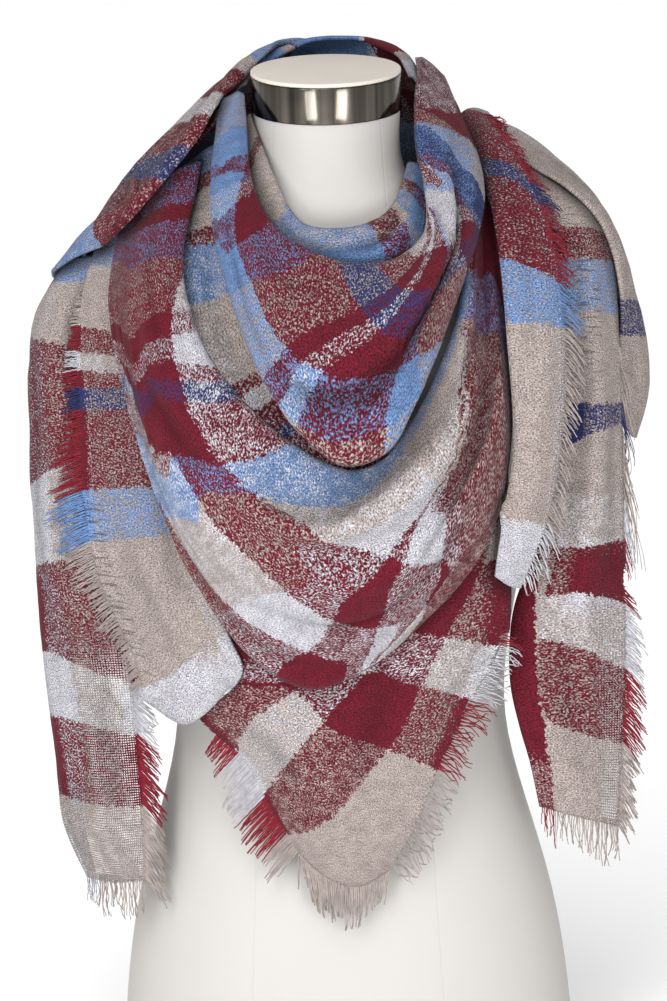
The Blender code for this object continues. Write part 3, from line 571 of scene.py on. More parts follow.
# creases: kind, depth and half width in mm, then the places that its line runs through
CREASES = {
    "main_swag": (
        ("fold", 5.0, 13.0, (.40, .19), (.46, .22), (.51, .21), (.56, .155), (.63, .15), (.72, .18),
         (.82, .20)),
        ("trough", 3.0, 8.0, (.23, .33), (.26, .27), (.31, .22), (.37, .22)),
        ("trough", 4.0, 8.0, (.60, .42), (.65, .34), (.72, .32), (.82, .34)),
        ("trough", 2.5, 7.0, (.50, .62), (.58, .58), (.64, .50), (.70, .44)),
        ("ridge", 2.5, 9.0, (.30, .60), (.40, .66), (.50, .72), (.60, .74)),
        ("trough", 2.0, 8.0, (.33, .80), (.44, .86), (.55, .90), (.64, .86)),
        ("ridge", 2.0, 10.0, (.10, .35), (.18, .40), (.26, .42), (.33, .50)),
        ("trough", 1.8, 6.0, (.05, .20), (.12, .18), (.20, .16), (.27, .14)),
        ("trough", 2.0, 7.0, (.12, .75), (.20, .70), (.28, .72)),
    ),
    "cowl": (
        ("fold", -9.0, 14.0, (.36, .72), (.42, .66), (.48, .58), (.55, .50), (.62, .42), (.70, .36),
         (.80, .30)),
        ("trough", 2.2, 7.0, (.16, .55), (.23, .62), (.31, .70), (.38, .76)),
        ("trough", 1.8, 6.0, (.24, .20), (.32, .24), (.40, .22), (.47, .14)),
        ("ridge", 2.2, 8.0, (.30, .40), (.38, .44), (.46, .38), (.54, .28)),
        ("trough", 2.0, 6.0, (.50, .84), (.57, .74), (.64, .62), (.72, .54)),
        ("ridge", 2.0, 8.0, (.66, .20), (.74, .28), (.83, .34), (.90, .40)),
    ),
    "under_fold": (
        ("trough", 3.0, 6.0, (.10, .42), (.18, .46), (.26, .44), (.35, .40)),
        ("ridge", 2.0, 6.0, (.16, .26), (.24, .28), (.33, .30), (.42, .34)),
    ),
    "inner_loop": (
        ("trough", 4.0, 4.0, (.26, .50), (.36, .54), (.48, .52), (.60, .46), (.70, .30), (.78, .12)),
        ("fold", 2.2, 6.0, (.56, .80), (.64, .58), (.72, .40), (.78, .20)),
    ),
    "bib": (
        ("trough", 2.2, 14.0, (.18, .56), (.24, .68), (.28, .80)),
        ("ridge", 2.5, 16.0, (.48, .50), (.46, .66), (.44, .82)),
        ("trough", 2.0, 12.0, (.66, .46), (.62, .62), (.58, .78)),
        ("ridge", 1.8, 12.0, (.84, .40), (.80, .54), (.74, .70)),
        ("trough", 1.5, 9.0, (.92, .38), (.90, .48), (.86, .58)),
    ),
    "left_panel": (
        ("trough", 3.0, 9.0, (.62, .02), (.58, .16), (.60, .30)),
        ("ridge", 2.0, 9.0, (.30, .20), (.32, .40), (.36, .60)),
        ("trough", 2.4, 8.0, (.70, .46), (.74, .60), (.70, .78)),
        ("trough", 1.6, 8.0, (.35, .62), (.40, .76), (.50, .92)),
    ),
    "left_tail": (
        ("ridge", 2.2, 9.0, (.28, .04), (.30, .22), (.34, .40)),
        ("trough", 2.2, 8.0, (.48, .08), (.46, .26), (.50, .48), (.46, .66)),
        ("trough", 1.8, 8.0, (.16, .58), (.20, .74), (.18, .92)),
        ("ridge", 1.6, 8.0, (.60, .50), (.56, .68), (.60, .88)),
    ),
    "left_shoulder": (
        ("trough", 5.5, 5.0, (.20, .50), (.34, .48), (.48, .46), (.62, .42), (.74, .36)),
        ("trough", 2.8, 7.0, (.26, .72), (.44, .76), (.60, .80), (.74, .82)),
        ("ridge", 2.4, 9.0, (.16, .84), (.34, .86), (.56, .84), (.76, .80)),
        ("trough", 2.4, 9.0, (.30, .40), (.50, .44), (.74, .52), (.90, .58)),
        ("trough", 2.6, 10.0, (.10, .20), (.34, .18), (.62, .24)),
    ),
    "right_front": (
        ("trough", 2.0, 7.0, (.42, .10), (.36, .24), (.44, .40), (.38, .58)),
        ("ridge", 1.6, 7.0, (.62, .30), (.66, .50), (.60, .72)),
    ),
    "right_tail": (
        ("trough", 2.2, 8.0, (.34, .20), (.30, .36), (.36, .54), (.32, .70)),
        ("ridge", 2.2, 9.0, (.58, .26), (.62, .46), (.56, .66), (.60, .84)),
        ("trough", 1.8, 8.0, (.46, .70), (.44, .82), (.50, .96)),
        ("trough", 1.6, 7.0, (.80, .40), (.78, .56), (.84, .72)),
    ),
    "right_outer": (
        ("trough", 2.2, 8.0, (.36, .16), (.40, .40), (.34, .66)),
        ("ridge", 2.0, 9.0, (.62, .20), (.66, .48), (.60, .78)),
    ),
    "back_wrap": (
        ("trough", 3.0, 12.0, (.10, .30), (.26, .44), (.44, .50), (.60, .46)),
        ("ridge", 3.0, 13.0, (.20, .62), (.38, .74), (.58, .76), (.78, .64)),
        ("trough", 2.6, 10.0, (.30, .86), (.46, .92), (.64, .88)),
        ("trough", 2.4, 9.0, (.56, .24), (.72, .28), (.88, .24)),
    ),
    "back_swag": (
        ("trough", 3.0, 9.0, (.06, .30), (.26, .42), (.48, .50), (.70, .44), (.92, .30)),
        ("ridge", 2.6, 9.0, (.16, .58), (.38, .70), (.60, .72), (.82, .58)),
        ("trough", 2.4, 8.0, (.24, .84), (.46, .88), (.66, .84)),
    ),
}

# painted shade: how dark a layer's colour is made where another one lies over it: by the upper one, and
# for some lower ones
CONTACT_PAINTED_SHADE = {
    "left_shoulder": 1.0, "cowl": 0.8, "main_swag": 0.9, "right_front": 0.85, "right_outer": 0.7,
    "left_panel": 0.75, "left_tail": 0.6, "right_tail": 0.6, "under_fold": 0.8, "inner_loop": 0.6,
    "back_swag": 0.6,
}
LIGHTER_CONTACT_PAINTED_SHADE = {
    ("bib", "main_swag"): 0.55, ("bib", "left_panel"): 0.20, ("left_panel", "main_swag"): 0.60,
    ("back_wrap", "left_shoulder"): 0.15, ("back_wrap", "cowl"): 0.30, ("back_wrap", "inner_loop"): 0.30,
}

# what the finished layers are, worked out once and kept for the pieces that lie on them
LAYERS = {}


# ------------------------------------ curves and nets
def curve_through(values, knots, places):
    """A smooth curve through the values at the knots, read at the places."""
    flat = np.asarray(values, float).reshape(len(knots), -1)
    gaps = np.diff(knots)[:, None]
    slopes = np.diff(flat, axis=0) / gaps
    inner = (gaps[1:] * slopes[:-1] + gaps[:-1] * slopes[1:]) / (gaps[:-1] + gaps[1:])
    tangents = np.vstack([slopes[:1], inner, slopes[-1:]])
    k = np.clip(np.searchsorted(knots, places, side="right") - 1, 0, len(knots) - 2)
    gap = gaps[k]
    w = (np.asarray(places) - np.asarray(knots)[k])[:, None] / gap
    curve = flat[k] * (2 * w**3 - 3 * w**2 + 1) + flat[k + 1] * (3 * w**2 - 2 * w**3)
    curve += gap * (tangents[k] * (w**3 - 2 * w**2 + w) + tangents[k + 1] * (w**3 - w**2))
    return curve.reshape((len(places),) + np.shape(values)[1:])


def evenly(points, count):
    """The smooth curve through the points, read at equal steps of its length."""
    last = len(points) - 1
    path = curve_through(points, np.arange(last + 1.0), np.linspace(0, last, PATH_POINTS))
    lengths = np.concatenate([[0.0], np.cumsum(np.linalg.norm(np.diff(path, axis=0), axis=1))])
    places = np.linspace(0, lengths[-1], count)
    return np.stack([np.interp(places, lengths, path[:, axis]) for axis in range(3)], axis=1)


def net_from_table(folds, columns):
    """The coarse net of a table of folds."""
    rows = np.array([evenly([(x, -f, z) for x, z, f in row], columns + 1) for row in folds])
    steps = np.linspace(0, len(rows) - 1, (len(rows) - 1) * ROWS_PER_FOLD + 1)
    return curve_through(rows, np.arange(float(len(rows))), steps)


def outward(net):
    """Unit normals of a net, all on the side that faces away from the form's middle."""
    normals = np.cross(np.gradient(net, axis=1), np.gradient(net, axis=0))
    normals /= np.linalg.norm(normals, axis=2, keepdims=True) + 1e-12
    side = np.sign(np.sum(normals * (net - FORM_MIDDLE)))
    return normals * side


def roll_edge(net, radius, first):
    """Turn the first or the last row of a net inwards, like a folded edge, less so at its ends."""
    edge, inner = (0, 1) if first else (-1, -2)
    place = net[edge]
    last = len(place) - 1
    share = np.minimum(np.arange(last + 1), last - np.arange(last + 1)) / last
    size = radius * np.minimum(1.0, ROLL_AT_ENDS + ROLL_GROWTH * share)[:, None]
    out = place - net[inner]
    out /= np.linalg.norm(out, axis=1, keepdims=True)
    turned = (place + out * size * ROLL_OUT - outward(net)[edge] * size)[None]
    return np.concatenate([turned, net] if first else [net, turned])


def search_tree(net):
    """A search tree of a net, its faces turned outwards."""
    rows, columns = net.shape[:2]
    corners = np.arange(rows * columns).reshape(rows, columns)
    a, b = corners[:-1, :-1].ravel(), corners[:-1, 1:].ravel()
    c, d = corners[1:, 1:].ravel(), corners[1:, :-1].ravel()
    faces = np.concatenate([np.stack([a, b, c], 1), np.stack([a, c, d], 1)])
    points = net.reshape(-1, 3)
    first, second, third = points[faces].swapaxes(0, 1)
    facing = np.cross(second - first, third - first)
    turned = np.sum(facing * outward(net).reshape(-1, 3)[faces[:, 0]], axis=1) < 0
    faces[turned] = faces[turned][:, ::-1]
    return BVHTree.FromPolygons(points.tolist(), faces.tolist())


def halve(net):
    """The net with a point added halfway between each two neighbours."""
    rows, columns = net.shape[:2]
    down = np.linspace(0, rows - 1, 2 * rows - 1)
    over = np.linspace(0, columns - 1, 2 * columns - 1)
    upper, left = np.floor(down).astype(int), np.floor(over).astype(int)
    lower, right = np.ceil(down).astype(int), np.ceil(over).astype(int)
    tall = (net[upper] + net[lower]) / 2
    return (tall[:, left] + tall[:, right]) / 2


def around(net):
    """Each point's own value and its eight neighbours'."""
    wide = np.pad(net, ((1, 1), (1, 1), (0, 0)), mode="edge")
    rows, columns = net.shape[:2]
    return np.array([wide[j:j + rows, i:i + columns] for j in range(3) for i in range(3)])


def clearing_moves(points, carriers, share, largest, reach=30.0):
    """For each point the largest move that some carrier asks of it, and how much room it has left."""
    moves = np.zeros_like(points)
    nearest = np.full(len(points), reach)
    for k, point in enumerate(points):
        place = Vector(point)
        best = 0.0
        for tree, need in carriers:
            found, facing, _face, distance = tree.find_nearest(place, reach)
            if found is None:
                continue
            off = place - found
            away = facing
            if off.dot(facing) < -BEHIND * distance:
                distance = -distance
            elif distance > 1e-6:
                away = (off / distance + facing).normalized()
            nearest[k] = min(nearest[k], distance - need)
            missing = min((need - distance) * share, largest)
            if missing > best:
                best = missing
                moves[k] = away * missing
    return moves, nearest


def spread(moves, rounds):
    """Let each point move at least as far as the mean of its neighbours."""
    for _ in range(rounds):
        mean = around(moves).mean(axis=0)
        longer = np.linalg.norm(mean, axis=2) > np.linalg.norm(moves, axis=2)
        moves = np.where(longer[:, :, None], mean, moves)
    return moves


def settle(net, carriers, rounds=60, still=0.05):
    """Move a coarse net off what it lies on, until every facet of it is clear."""
    for _ in range(rounds):
        fine = halve(net)
        moves, _spare = clearing_moves(fine.reshape(-1, 3), carriers, share=0.6, largest=5.0)
        near = around(moves.reshape(fine.shape))[:, ::2, ::2]
        longest = np.linalg.norm(near, axis=3).argmax(axis=0)
        moves = np.take_along_axis(near, longest[None, :, :, None], axis=0)[0]
        if np.linalg.norm(moves, axis=2).max() < still:
            break
        net = net + spread(moves, 2)
    return net


def settle_fine(net, carriers, rounds=14, still=0.08, near_by=5.0):
    """Move a fine net off what it lies on, in soft dents, testing only the points that are near."""
    near = np.arange(net.shape[0] * net.shape[1])
    for _ in range(rounds):
        flat = net.reshape(-1, 3)
        found, spare = clearing_moves(flat[near], carriers, share=0.8, largest=3.0, reach=14.0)
        moves = np.zeros_like(flat)
        moves[near] = found
        near = near[spare < near_by]
        moves = moves.reshape(net.shape)
        if np.linalg.norm(moves, axis=2).max() < still or len(near) == 0:
            break
        net = net + spread(moves, 4)
    return net


def net_lengths(net):
    """Mean distance of each column, and of each row, from the first."""
    across = np.linalg.norm(np.diff(net, axis=1), axis=2).mean(axis=0)
    down = np.linalg.norm(np.diff(net, axis=0), axis=2).mean(axis=1)
    return np.concatenate([[0], np.cumsum(across)]), np.concatenate([[0], np.cumsum(down)])


def refine(net, rolled_top, spacing):
    """The smooth surface through a coarse net, with u and v of its columns and rows."""
    over, down = net_lengths(net)
    many_over = max(int(round(over[-1] / spacing)), FEWEST_STEPS)
    many_down = max(int(round(down[-1] / spacing)), FEWEST_STEPS)
    columns = np.linspace(0, over[-1], many_over + 1)
    rows = np.linspace(0, down[-1], many_down + 1)
    tall = curve_through(net, down, rows)
    wide = curve_through(np.swapaxes(tall, 0, 1), over, columns)
    top = down[1] if rolled_top else 0.0
    u = columns / over[-1]
    v = (rows - top) / (down[-1] - top)
    return np.swapaxes(wide, 0, 1), u, v


# ------------------------------------ creases
def crease_relief(creases, u, v, width, length):
    """Height of the creases over a sheet, in mm.  A crease is its kind, depth, half width and path."""
    place = np.stack(np.meshgrid(u * width, v * length), axis=-1)
    relief = np.zeros(place.shape[:2])
    for kind, depth, half, *path in creases:
        ends = np.array(path) * (width, length)
        places = np.linspace(0, len(ends) - 1, CREASE_POINTS)
        line = curve_through(ends, np.arange(float(len(ends))), places)
        off = place[:, :, None] - line
        distance = np.linalg.norm(off, axis=3)
        k = distance.argmin(axis=2)
        off = np.take_along_axis(off, k[:, :, None, None], axis=2)[:, :, 0]
        distance = np.take_along_axis(distance, k[:, :, None], axis=2)[:, :, 0]
        along = np.gradient(line, axis=0)[k]
        side = np.sign(along[..., 0] * off[..., 1] - along[..., 1] * off[..., 0])
        fade = np.sin(np.pi * np.clip(k / (CREASE_POINTS - 1), 0.0, 1.0)) ** CREASE_FADE
        if kind == "ridge":
            relief += depth * fade * np.exp(-(distance / half) ** 2)
        elif kind == "trough":
            relief -= depth * fade * np.exp(-(distance / half) ** 2)
        else:
            reach = np.where(side > 0, half, half * FOLD_STEEP_SIDE)
            shape = np.exp(-(distance / reach) ** 2)
            shape = np.where(side > 0, shape, 2 * shape - 1)
            relief += depth * fade * shape * np.exp(-(distance / (FOLD_WIDTH * half)) ** 2)
    return relief


def soft_relief(net, height, size, seed):
    """Low, uneven waves, as in any cloth that has been worn."""
    shift = Vector((seed, 0, 0))
    relief = [height * noise.noise(Vector(point) / size + shift) for point in net.reshape(-1, 3)]
    return np.array(relief).reshape(net.shape[:2])


# ------------------------------------ stripes
def stripe_values(bands, stations, along):
    """Where each point lies in the row of bands: band k covers from k / count to (k + 1) / count."""
    most = max(len(band) - 1 for band in bands)
    ends = np.array([band[1:] * most if len(band) == 2 else band[1:] for band in bands[:-1]], float)
    if most > 1:
        ends = curve_through(ends.T, np.linspace(0, 1, ends.shape[1]), np.clip(stations, 0, 1))
    else:
        ends = np.repeat(ends.T, len(stations), axis=0)
    scale = np.linspace(0, 1, len(bands) + 1)
    values = []
    for line in ends:
        line = np.maximum.accumulate(line)
        knots = np.concatenate([[line[0] - 0.1], line, [line[-1] + 0.1]])
        values.append(np.interp(along, knots, scale))
    return np.array(values)


def steepness(values, net):
    """How fast a value changes over a net, per metre."""
    over = np.linalg.norm(np.gradient(net, axis=1), axis=2) * MM + 1e-6
    down = np.linalg.norm(np.gradient(net, axis=0), axis=2) * MM + 1e-6
    return np.hypot(np.gradient(values, axis=1) / over, np.gradient(values, axis=0) / down)


# ------------------------------------ making objects
def select_nothing():
    """Deselect everything, so that an operator acts on the new piece only."""
    bpy.ops.object.select_all(action="DESELECT")


def mesh_object(name, points, faces):
    """A smooth object at the origin, from points in millimetres."""
    mesh = bpy.data.meshes.new(name)
    mesh.from_pydata((np.asarray(points) * MM).tolist(), [], faces)
    mesh.shade_smooth()
    item = bpy.data.objects.new(name, mesh)
    bpy.context.scene.collection.objects.link(item)
    return item


def add_uv(mesh, name, values):
    """A UV map from a value pair for each vertex."""
    layer = mesh.uv_layers.new(name=name)
    corners = np.zeros(len(mesh.loops), dtype=np.int32)
    mesh.loops.foreach_get("vertex_index", corners)
    layer.data.foreach_set("uv", np.asarray(values, np.float32)[corners].ravel())


def add_mask(mesh, name, values):
    """A named value for each vertex, which a material can read."""
    layer = mesh.attributes.new(name, "FLOAT", "POINT")
    layer.data.foreach_set("value", np.asarray(values, np.float32).ravel())


# ------------------------------------ nodes
def set_inputs(tree, node, inputs):
    """Set or link a node's inputs, by name or number."""
    for key, value in inputs.items():
        if isinstance(value, bpy.types.NodeSocket):
            tree.links.new(value, node.inputs[key])
        else:
            node.inputs[key].default_value = value


def add_node(tree, kind, inputs=None, **settings):
    """A node with its settings, and with its inputs set or linked."""
    made = tree.nodes.new(kind)
    for key, value in settings.items():
        setattr(made, key, value)
    set_inputs(tree, made, inputs or {})
    return made


def math_node(tree, operation, *values, clamp=False):
    """The result of one operation on numbers or sockets."""
    made = add_node(tree, "ShaderNodeMath", dict(enumerate(values)), operation=operation, use_clamp=clamp)
    return made.outputs[0]


def plus(tree, a, b):
    """The sum of two numbers or sockets."""
    return math_node(tree, "ADD", a, b)


def minus(tree, a, b):
    """The first number or socket less the second."""
    return math_node(tree, "SUBTRACT", a, b)


def times(tree, a, b):
    """The product of two numbers or sockets."""
    return math_node(tree, "MULTIPLY", a, b)


def swing(tree, value, amount):
    """A value from 0 to 1, made to swing to both sides of zero by half the amount."""
    return times(tree, minus(tree, value, 0.5), amount)


def object_place(tree):
    """Object coordinates."""
    return add_node(tree, "ShaderNodeTexCoord").outputs["Object"]


def uv_place(tree, name):
    """The coordinates of one of a sheet's UV maps."""
    return add_node(tree, "ShaderNodeUVMap", uv_map=name).outputs[0]


def split(tree, place):
    """The X, Y and Z of coordinates."""
    return add_node(tree, "ShaderNodeSeparateXYZ", {0: place}).outputs


def stretched(tree, place, scales):
    """Coordinates stretched by a factor for each axis."""
    made = add_node(tree, "ShaderNodeVectorMath", {0: place, 1: scales}, operation="MULTIPLY")
    return made.outputs[0]


def toned(tree, colour, light):
    """A colour made lighter or darker."""
    return add_node(tree, "ShaderNodeHueSaturation", {"Color": colour, "Value": light}).outputs[0]


def bump_node(tree, strength, distance, height):
    """A normal that stands up with the height."""
    inputs = {"Strength": strength, "Distance": distance, "Height": height}
    return add_node(tree, "ShaderNodeBump", inputs).outputs[0]


def span_node(tree, value, low, high, to_low=0.0, to_high=1.0):
    """The value, read on the scale from low to high."""
    inputs = {"Value": value, "From Min": low, "From Max": high, "To Min": to_low, "To Max": to_high}
    return add_node(tree, "ShaderNodeMapRange", inputs).outputs[0]


def noise_node(tree, place, scale, detail=1.0, rough=0.5, distortion=0.0):
    """Cloudy noise from 0 to 1."""
    inputs = {"Vector": place, "Scale": scale, "Detail": detail, "Roughness": rough,
              "Distortion": distortion}
    return add_node(tree, "ShaderNodeTexNoise", inputs).outputs["Fac"]


def mask_node(tree, name):
    """The value of a sheet's mask."""
    return add_node(tree, "ShaderNodeAttribute", attribute_name=name).outputs["Fac"]


def new_group(name, inputs, outputs):
    """A shader node group: inputs as name, kind, value, outputs as name, kind."""
    tree = bpy.data.node_groups.new(name, "ShaderNodeTree")
    for title, kind, value in inputs:
        socket = tree.interface.new_socket(title, in_out="INPUT", socket_type=kind)
        socket.default_value = value
    for title, kind in outputs:
        tree.interface.new_socket(title, in_out="OUTPUT", socket_type=kind)
    return tree, tree.nodes.new("NodeGroupInput").outputs, tree.nodes.new("NodeGroupOutput").inputs


def ragged_stripes_group():
    """Where a point lies in both rows of stripes, with the uneven borders of brushed yarn."""
    name = "Ragged stripes"
    if name in bpy.data.node_groups:
        return bpy.data.node_groups[name]
    inputs = [("Raggedness", "NodeSocketFloat", 0.01), ("Grain", "NodeSocketFloat", 300.0)]
    outputs = [("Warp", "NodeSocketFloat"), ("Weft", "NodeSocketFloat")]
    tree, given, result = new_group(name, inputs, outputs)
    place = object_place(tree)
    parts = split(tree, uv_place(tree, "stripes"))
    rates = split(tree, uv_place(tree, "rates"))
    for k, title in enumerate(("Warp", "Weft")):
        shifted = add_node(tree, "ShaderNodeVectorMath", {0: place, 1: (3.7 * k, 1.3, 0.0)},
                           operation="ADD")
        wave = noise_node(tree, shifted.outputs[0], given["Grain"], 2.0, 0.7)
        off = times(tree, swing(tree, wave, given["Raggedness"]), rates[k])
        tree.links.new(plus(tree, parts[k], off), result[title])
    return tree


def brushed_check_group():
    """Loopy yarn of two colours, brushed: specks where they cross, nap, gaps in open weave, and painted
    shade.
    """
    name = "Brushed check"
    if name in bpy.data.node_groups:
        return bpy.data.node_groups[name]
    grey = (0.5, 0.5, 0.5, 1.0)
    inputs = [("Warp", "NodeSocketColor", grey), ("Weft", "NodeSocketColor", grey),
              ("Speck size", "NodeSocketFloat", 0.0021), ("Speck softness", "NodeSocketFloat", 0.03),
              ("Grain contrast", "NodeSocketFloat", 0.5), ("Thread spacing", "NodeSocketFloat", 0.0019),
              ("Dark bias", "NodeSocketFloat", 0.45), ("Hollow depth", "NodeSocketFloat", 0.85)]
    outputs = [("Color", "NodeSocketColor"), ("Height", "NodeSocketFloat"), ("Alpha", "NodeSocketFloat")]
    tree, given, result = new_group(name, inputs, outputs)
    place = object_place(tree)
    threads = uv_place(tree, "threads")
    along = stretched(tree, threads, SPECK_STRETCH)

    # specks of warp and weft: more of the weft where its share is high, and of the darker yarn
    scale = math_node(tree, "DIVIDE", 1.0, given["Speck size"])
    specks = noise_node(tree, along, scale, 1.0, 0.5, 0.5)
    slow = noise_node(tree, place, 120.0, 2.0)
    level = plus(tree, specks, swing(tree, slow, 0.30))
    less = minus(tree, mask_node(tree, "weft_share"), 1.0)
    level = plus(tree, level, less)
    warp_light, weft_light = [add_node(tree, "ShaderNodeRGBToBW", {0: given[yarn]}).outputs[0]
                              for yarn in ("Warp", "Weft")]
    darker = times(tree, minus(tree, warp_light, weft_light), given["Dark bias"])
    darker = math_node(tree, "MAXIMUM", darker, -LARGEST_DARK_BIAS)
    darker = math_node(tree, "MINIMUM", darker, LARGEST_DARK_BIAS)
    level = plus(tree, level, darker)
    low = times(tree, given["Speck softness"], -1.0)
    mixing = span_node(tree, level, low, given["Speck softness"])
    both = add_node(tree, "ShaderNodeMix", {0: mixing, 6: given["Warp"], 7: given["Weft"]},
                    data_type="RGBA")

    # light and dark fibres, then painted shade: torn slits made dark for the shade seen through them, and
    # shade in creases and under other layers
    fine = noise_node(tree, along, times(tree, scale, 1.4), 1.0, 0.5)
    light = swing(tree, fine, given["Grain contrast"])
    light = plus(tree, times(tree, light, 4.0), 1.0)
    light = math_node(tree, "MAXIMUM", light, 0.25)
    light = times(tree, light, span_node(tree, slow, 0.3, 0.7, 0.86, 1.14))
    # painted shade: the torn slits are darkened, not opened
    painted_slit_shade = noise_node(tree, stretched(tree, threads, SLIT_STRETCH), 1.0, 1.0)
    painted_slit_shade = times(tree, span_node(tree, painted_slit_shade, 0.57, 0.63), mask_node(tree, "slits"))
    painted_slit_shade = times(tree, painted_slit_shade, 0.85)
    # painted shade: darker near a layer that lies over this one and deep in creases
    painted_shade = times(tree, mask_node(tree, "hollow"), given["Hollow depth"])
    painted_shade = minus(tree, 1.0, math_node(tree, "MAXIMUM", painted_shade, painted_slit_shade))
    light = times(tree, light, painted_shade)
    tree.links.new(toned(tree, both.outputs[2], light), result["Color"])

    # the nap stands up with the specks and the fibres
    coarse = times(tree, specks, 0.6)
    height = plus(tree, coarse, times(tree, fine, 0.4))
    tree.links.new(height, result["Height"])

    # gaps between the threads where the weave is open, and between the strands of a frayed edge
    turns = math_node(tree, "DIVIDE", 2 * math.pi, given["Thread spacing"])
    bend = times(tree, slow, 5.0)
    parts = split(tree, threads)
    waves = []
    for k in range(2):
        phase = plus(tree, times(tree, parts[k], turns), bend)
        waves.append(math_node(tree, "SINE", phase))
    gaps = span_node(tree, math_node(tree, "MINIMUM", *waves), -0.55, -0.20)
    gaps = times(tree, gaps, mask_node(tree, "gauze"))
    strands = noise_node(tree, stretched(tree, threads, STRAND_STRETCH), 1.0, 1.0)
    strands = plus(tree, strands, mask_node(tree, "frayed"))
    gaps = math_node(tree, "MAXIMUM", gaps, span_node(tree, strands, 1.0, 1.06))
    tree.links.new(math_node(tree, "SUBTRACT", 1.0, gaps, clamp=True), result["Alpha"])
    return tree


def yarn_group():
    """The uneven colour and twist of a loose yarn."""
    name = "Loose yarn"
    if name in bpy.data.node_groups:
        return bpy.data.node_groups[name]
    inputs = [("Yarn", "NodeSocketColor", (0.5, 0.5, 0.5, 1.0)), ("Contrast", "NodeSocketFloat", 0.5)]
    outputs = [("Color", "NodeSocketColor"), ("Height", "NodeSocketFloat")]
    tree, given, result = new_group(name, inputs, outputs)
    place = object_place(tree)
    fine = noise_node(tree, place, 900.0, 1.0)
    slow = noise_node(tree, place, 180.0, 1.0)
    light = plus(tree, swing(tree, fine, given["Contrast"]), swing(tree, slow, 1.0))
    light = plus(tree, light, 1.2)
    tree.links.new(toned(tree, given["Yarn"], light), result["Color"])
    tree.links.new(fine, result["Height"])
    return tree


def new_material(name):
    """A material with its node tree and its shader."""
    material = bpy.data.materials.new(name)
    material.use_nodes = True
    return material, material.node_tree, material.node_tree.nodes["Principled BSDF"]


def dress(item, material):
    """Give a piece its only material."""
    item.data.materials.clear()
    item.data.materials.append(material)


def stripe_ramp(tree, place, bands, colours):
    """The colour of the band that a place lies in."""
    made = add_node(tree, "ShaderNodeValToRGB", {0: place})
    ramp = made.color_ramp
    ramp.interpolation = "CONSTANT"
    ramp.elements.remove(ramp.elements[1])
    ramp.elements[0].position = 0.0
    ramp.elements[0].color = colours[bands[0][0]]
    for k in range(1, len(bands)):
        ramp.elements.new(k / len(bands)).color = colours[bands[k][0]]
    return made.outputs[0]


def yarn_colours(cloth):
    """The six yarn colours by name."""
    names = ("burgundy", "red", "blue", "beige", "lavender", "navy")
    return {name: (*getattr(cloth, name), 1.0) for name in names}


def cloth_material(name, cloth, warp, weft):
    """Brushed check with its own bands of warp and weft."""
    material, tree, shader = new_material(name)
    colours = yarn_colours(cloth)
    ragged = add_node(tree, "ShaderNodeGroup", {"Raggedness": cloth.raggedness},
                      node_tree=ragged_stripes_group()).outputs
    check = add_node(tree, "ShaderNodeGroup", {
        "Warp": stripe_ramp(tree, ragged["Warp"], warp, colours),
        "Weft": stripe_ramp(tree, ragged["Weft"], weft, colours),
        "Speck size": cloth.speck_size,
        "Speck softness": cloth.speck_softness,
        "Grain contrast": cloth.grain_contrast,
    }, node_tree=brushed_check_group()).outputs
    set_inputs(tree, shader, {
        "Base Color": check["Color"],
        "Alpha": check["Alpha"],
        "Normal": bump_node(tree, cloth.nap_strength, cloth.nap_depth, check["Height"]),
        "Roughness": 0.95,
        "Specular IOR Level": 0.15,
        "Sheen Weight": cloth.sheen,
        "Sheen Roughness": 0.5,
    })
    return material


def fringe_material(name, cloth, bands, along_warp):
    """Loose yarns, each in the colour of the stripe that it comes from."""
    material, tree, shader = new_material(name)
    colours = yarn_colours(cloth)
    colours["burgundy"] = colours["red"]
    place = split(tree, uv_place(tree, "stripes"))[0 if along_warp else 1]
    colour = stripe_ramp(tree, place, bands, colours)
    yarn = add_node(tree, "ShaderNodeGroup", {"Yarn": colour}, node_tree=yarn_group()).outputs
    set_inputs(tree, shader, {
        "Base Color": yarn["Color"],
        "Normal": bump_node(tree, 0.4, 0.0006, yarn["Height"]),
        "Roughness": 0.9,
        "Specular IOR Level": 0.15,
        "Sheen Weight": cloth.sheen,
    })
    return material


# ------------------------------------ sheets
def patch_mask(name, kind, u, v):
    """How much of a sheet's place is open, slit or bare of warp, from its soft-edged patches."""
    over, down = np.meshgrid(u, v)
    mask = np.zeros(over.shape)
    for what, strength, from_u, to_u, from_v, to_v, soft in PATCHES.get(name, ()):
        if what != kind:
            continue
        inside = np.minimum(over - from_u, to_u - over)
        inside = np.minimum(inside, np.minimum(down - from_v, to_v - down))
        mask = np.maximum(mask, strength * np.clip(inside / soft + 0.5, 0, 1))
    return mask


def make_layer(name, spacing, thickness):
    """The finished middle surface of one stretch of the scarf, kept in LAYERS."""
    sheet = SHEETS[name]
    coarse = net_from_table(sheet.folds, sheet.columns)
    if sheet.top_roll:
        coarse = roll_edge(coarse, sheet.top_roll, True)
    if sheet.bottom_roll:
        coarse = roll_edge(coarse, sheet.bottom_roll, False)
    coarse = settle(coarse, [LAYERS[other]["coarse"] for other in sheet.lies_on])
    net, u, v = refine(coarse, bool(sheet.top_roll), spacing)
    over, down = net_lengths(net)
    width, length = over[-1], down[-1]
    relief = crease_relief(CREASES.get(name, ()), u, v, width, length)
    waves = sum(soft_relief(net, height, size, seed + len(LAYERS)) for height, size, seed in WAVES)
    net = net + outward(net) * (relief + waves)[:, :, None]
    net = settle_fine(net, [LAYERS[other]["fine"] for other in sheet.lies_on])
    LAYERS[name] = {
        "coarse": (search_tree(coarse), COARSE_CLEARANCE),
        "fine": (search_tree(net), thickness + FINE_MARGIN),
        "net": net, "u": u, "v": v, "width": width, "length": length, "relief": relief,
    }
    return LAYERS[name]


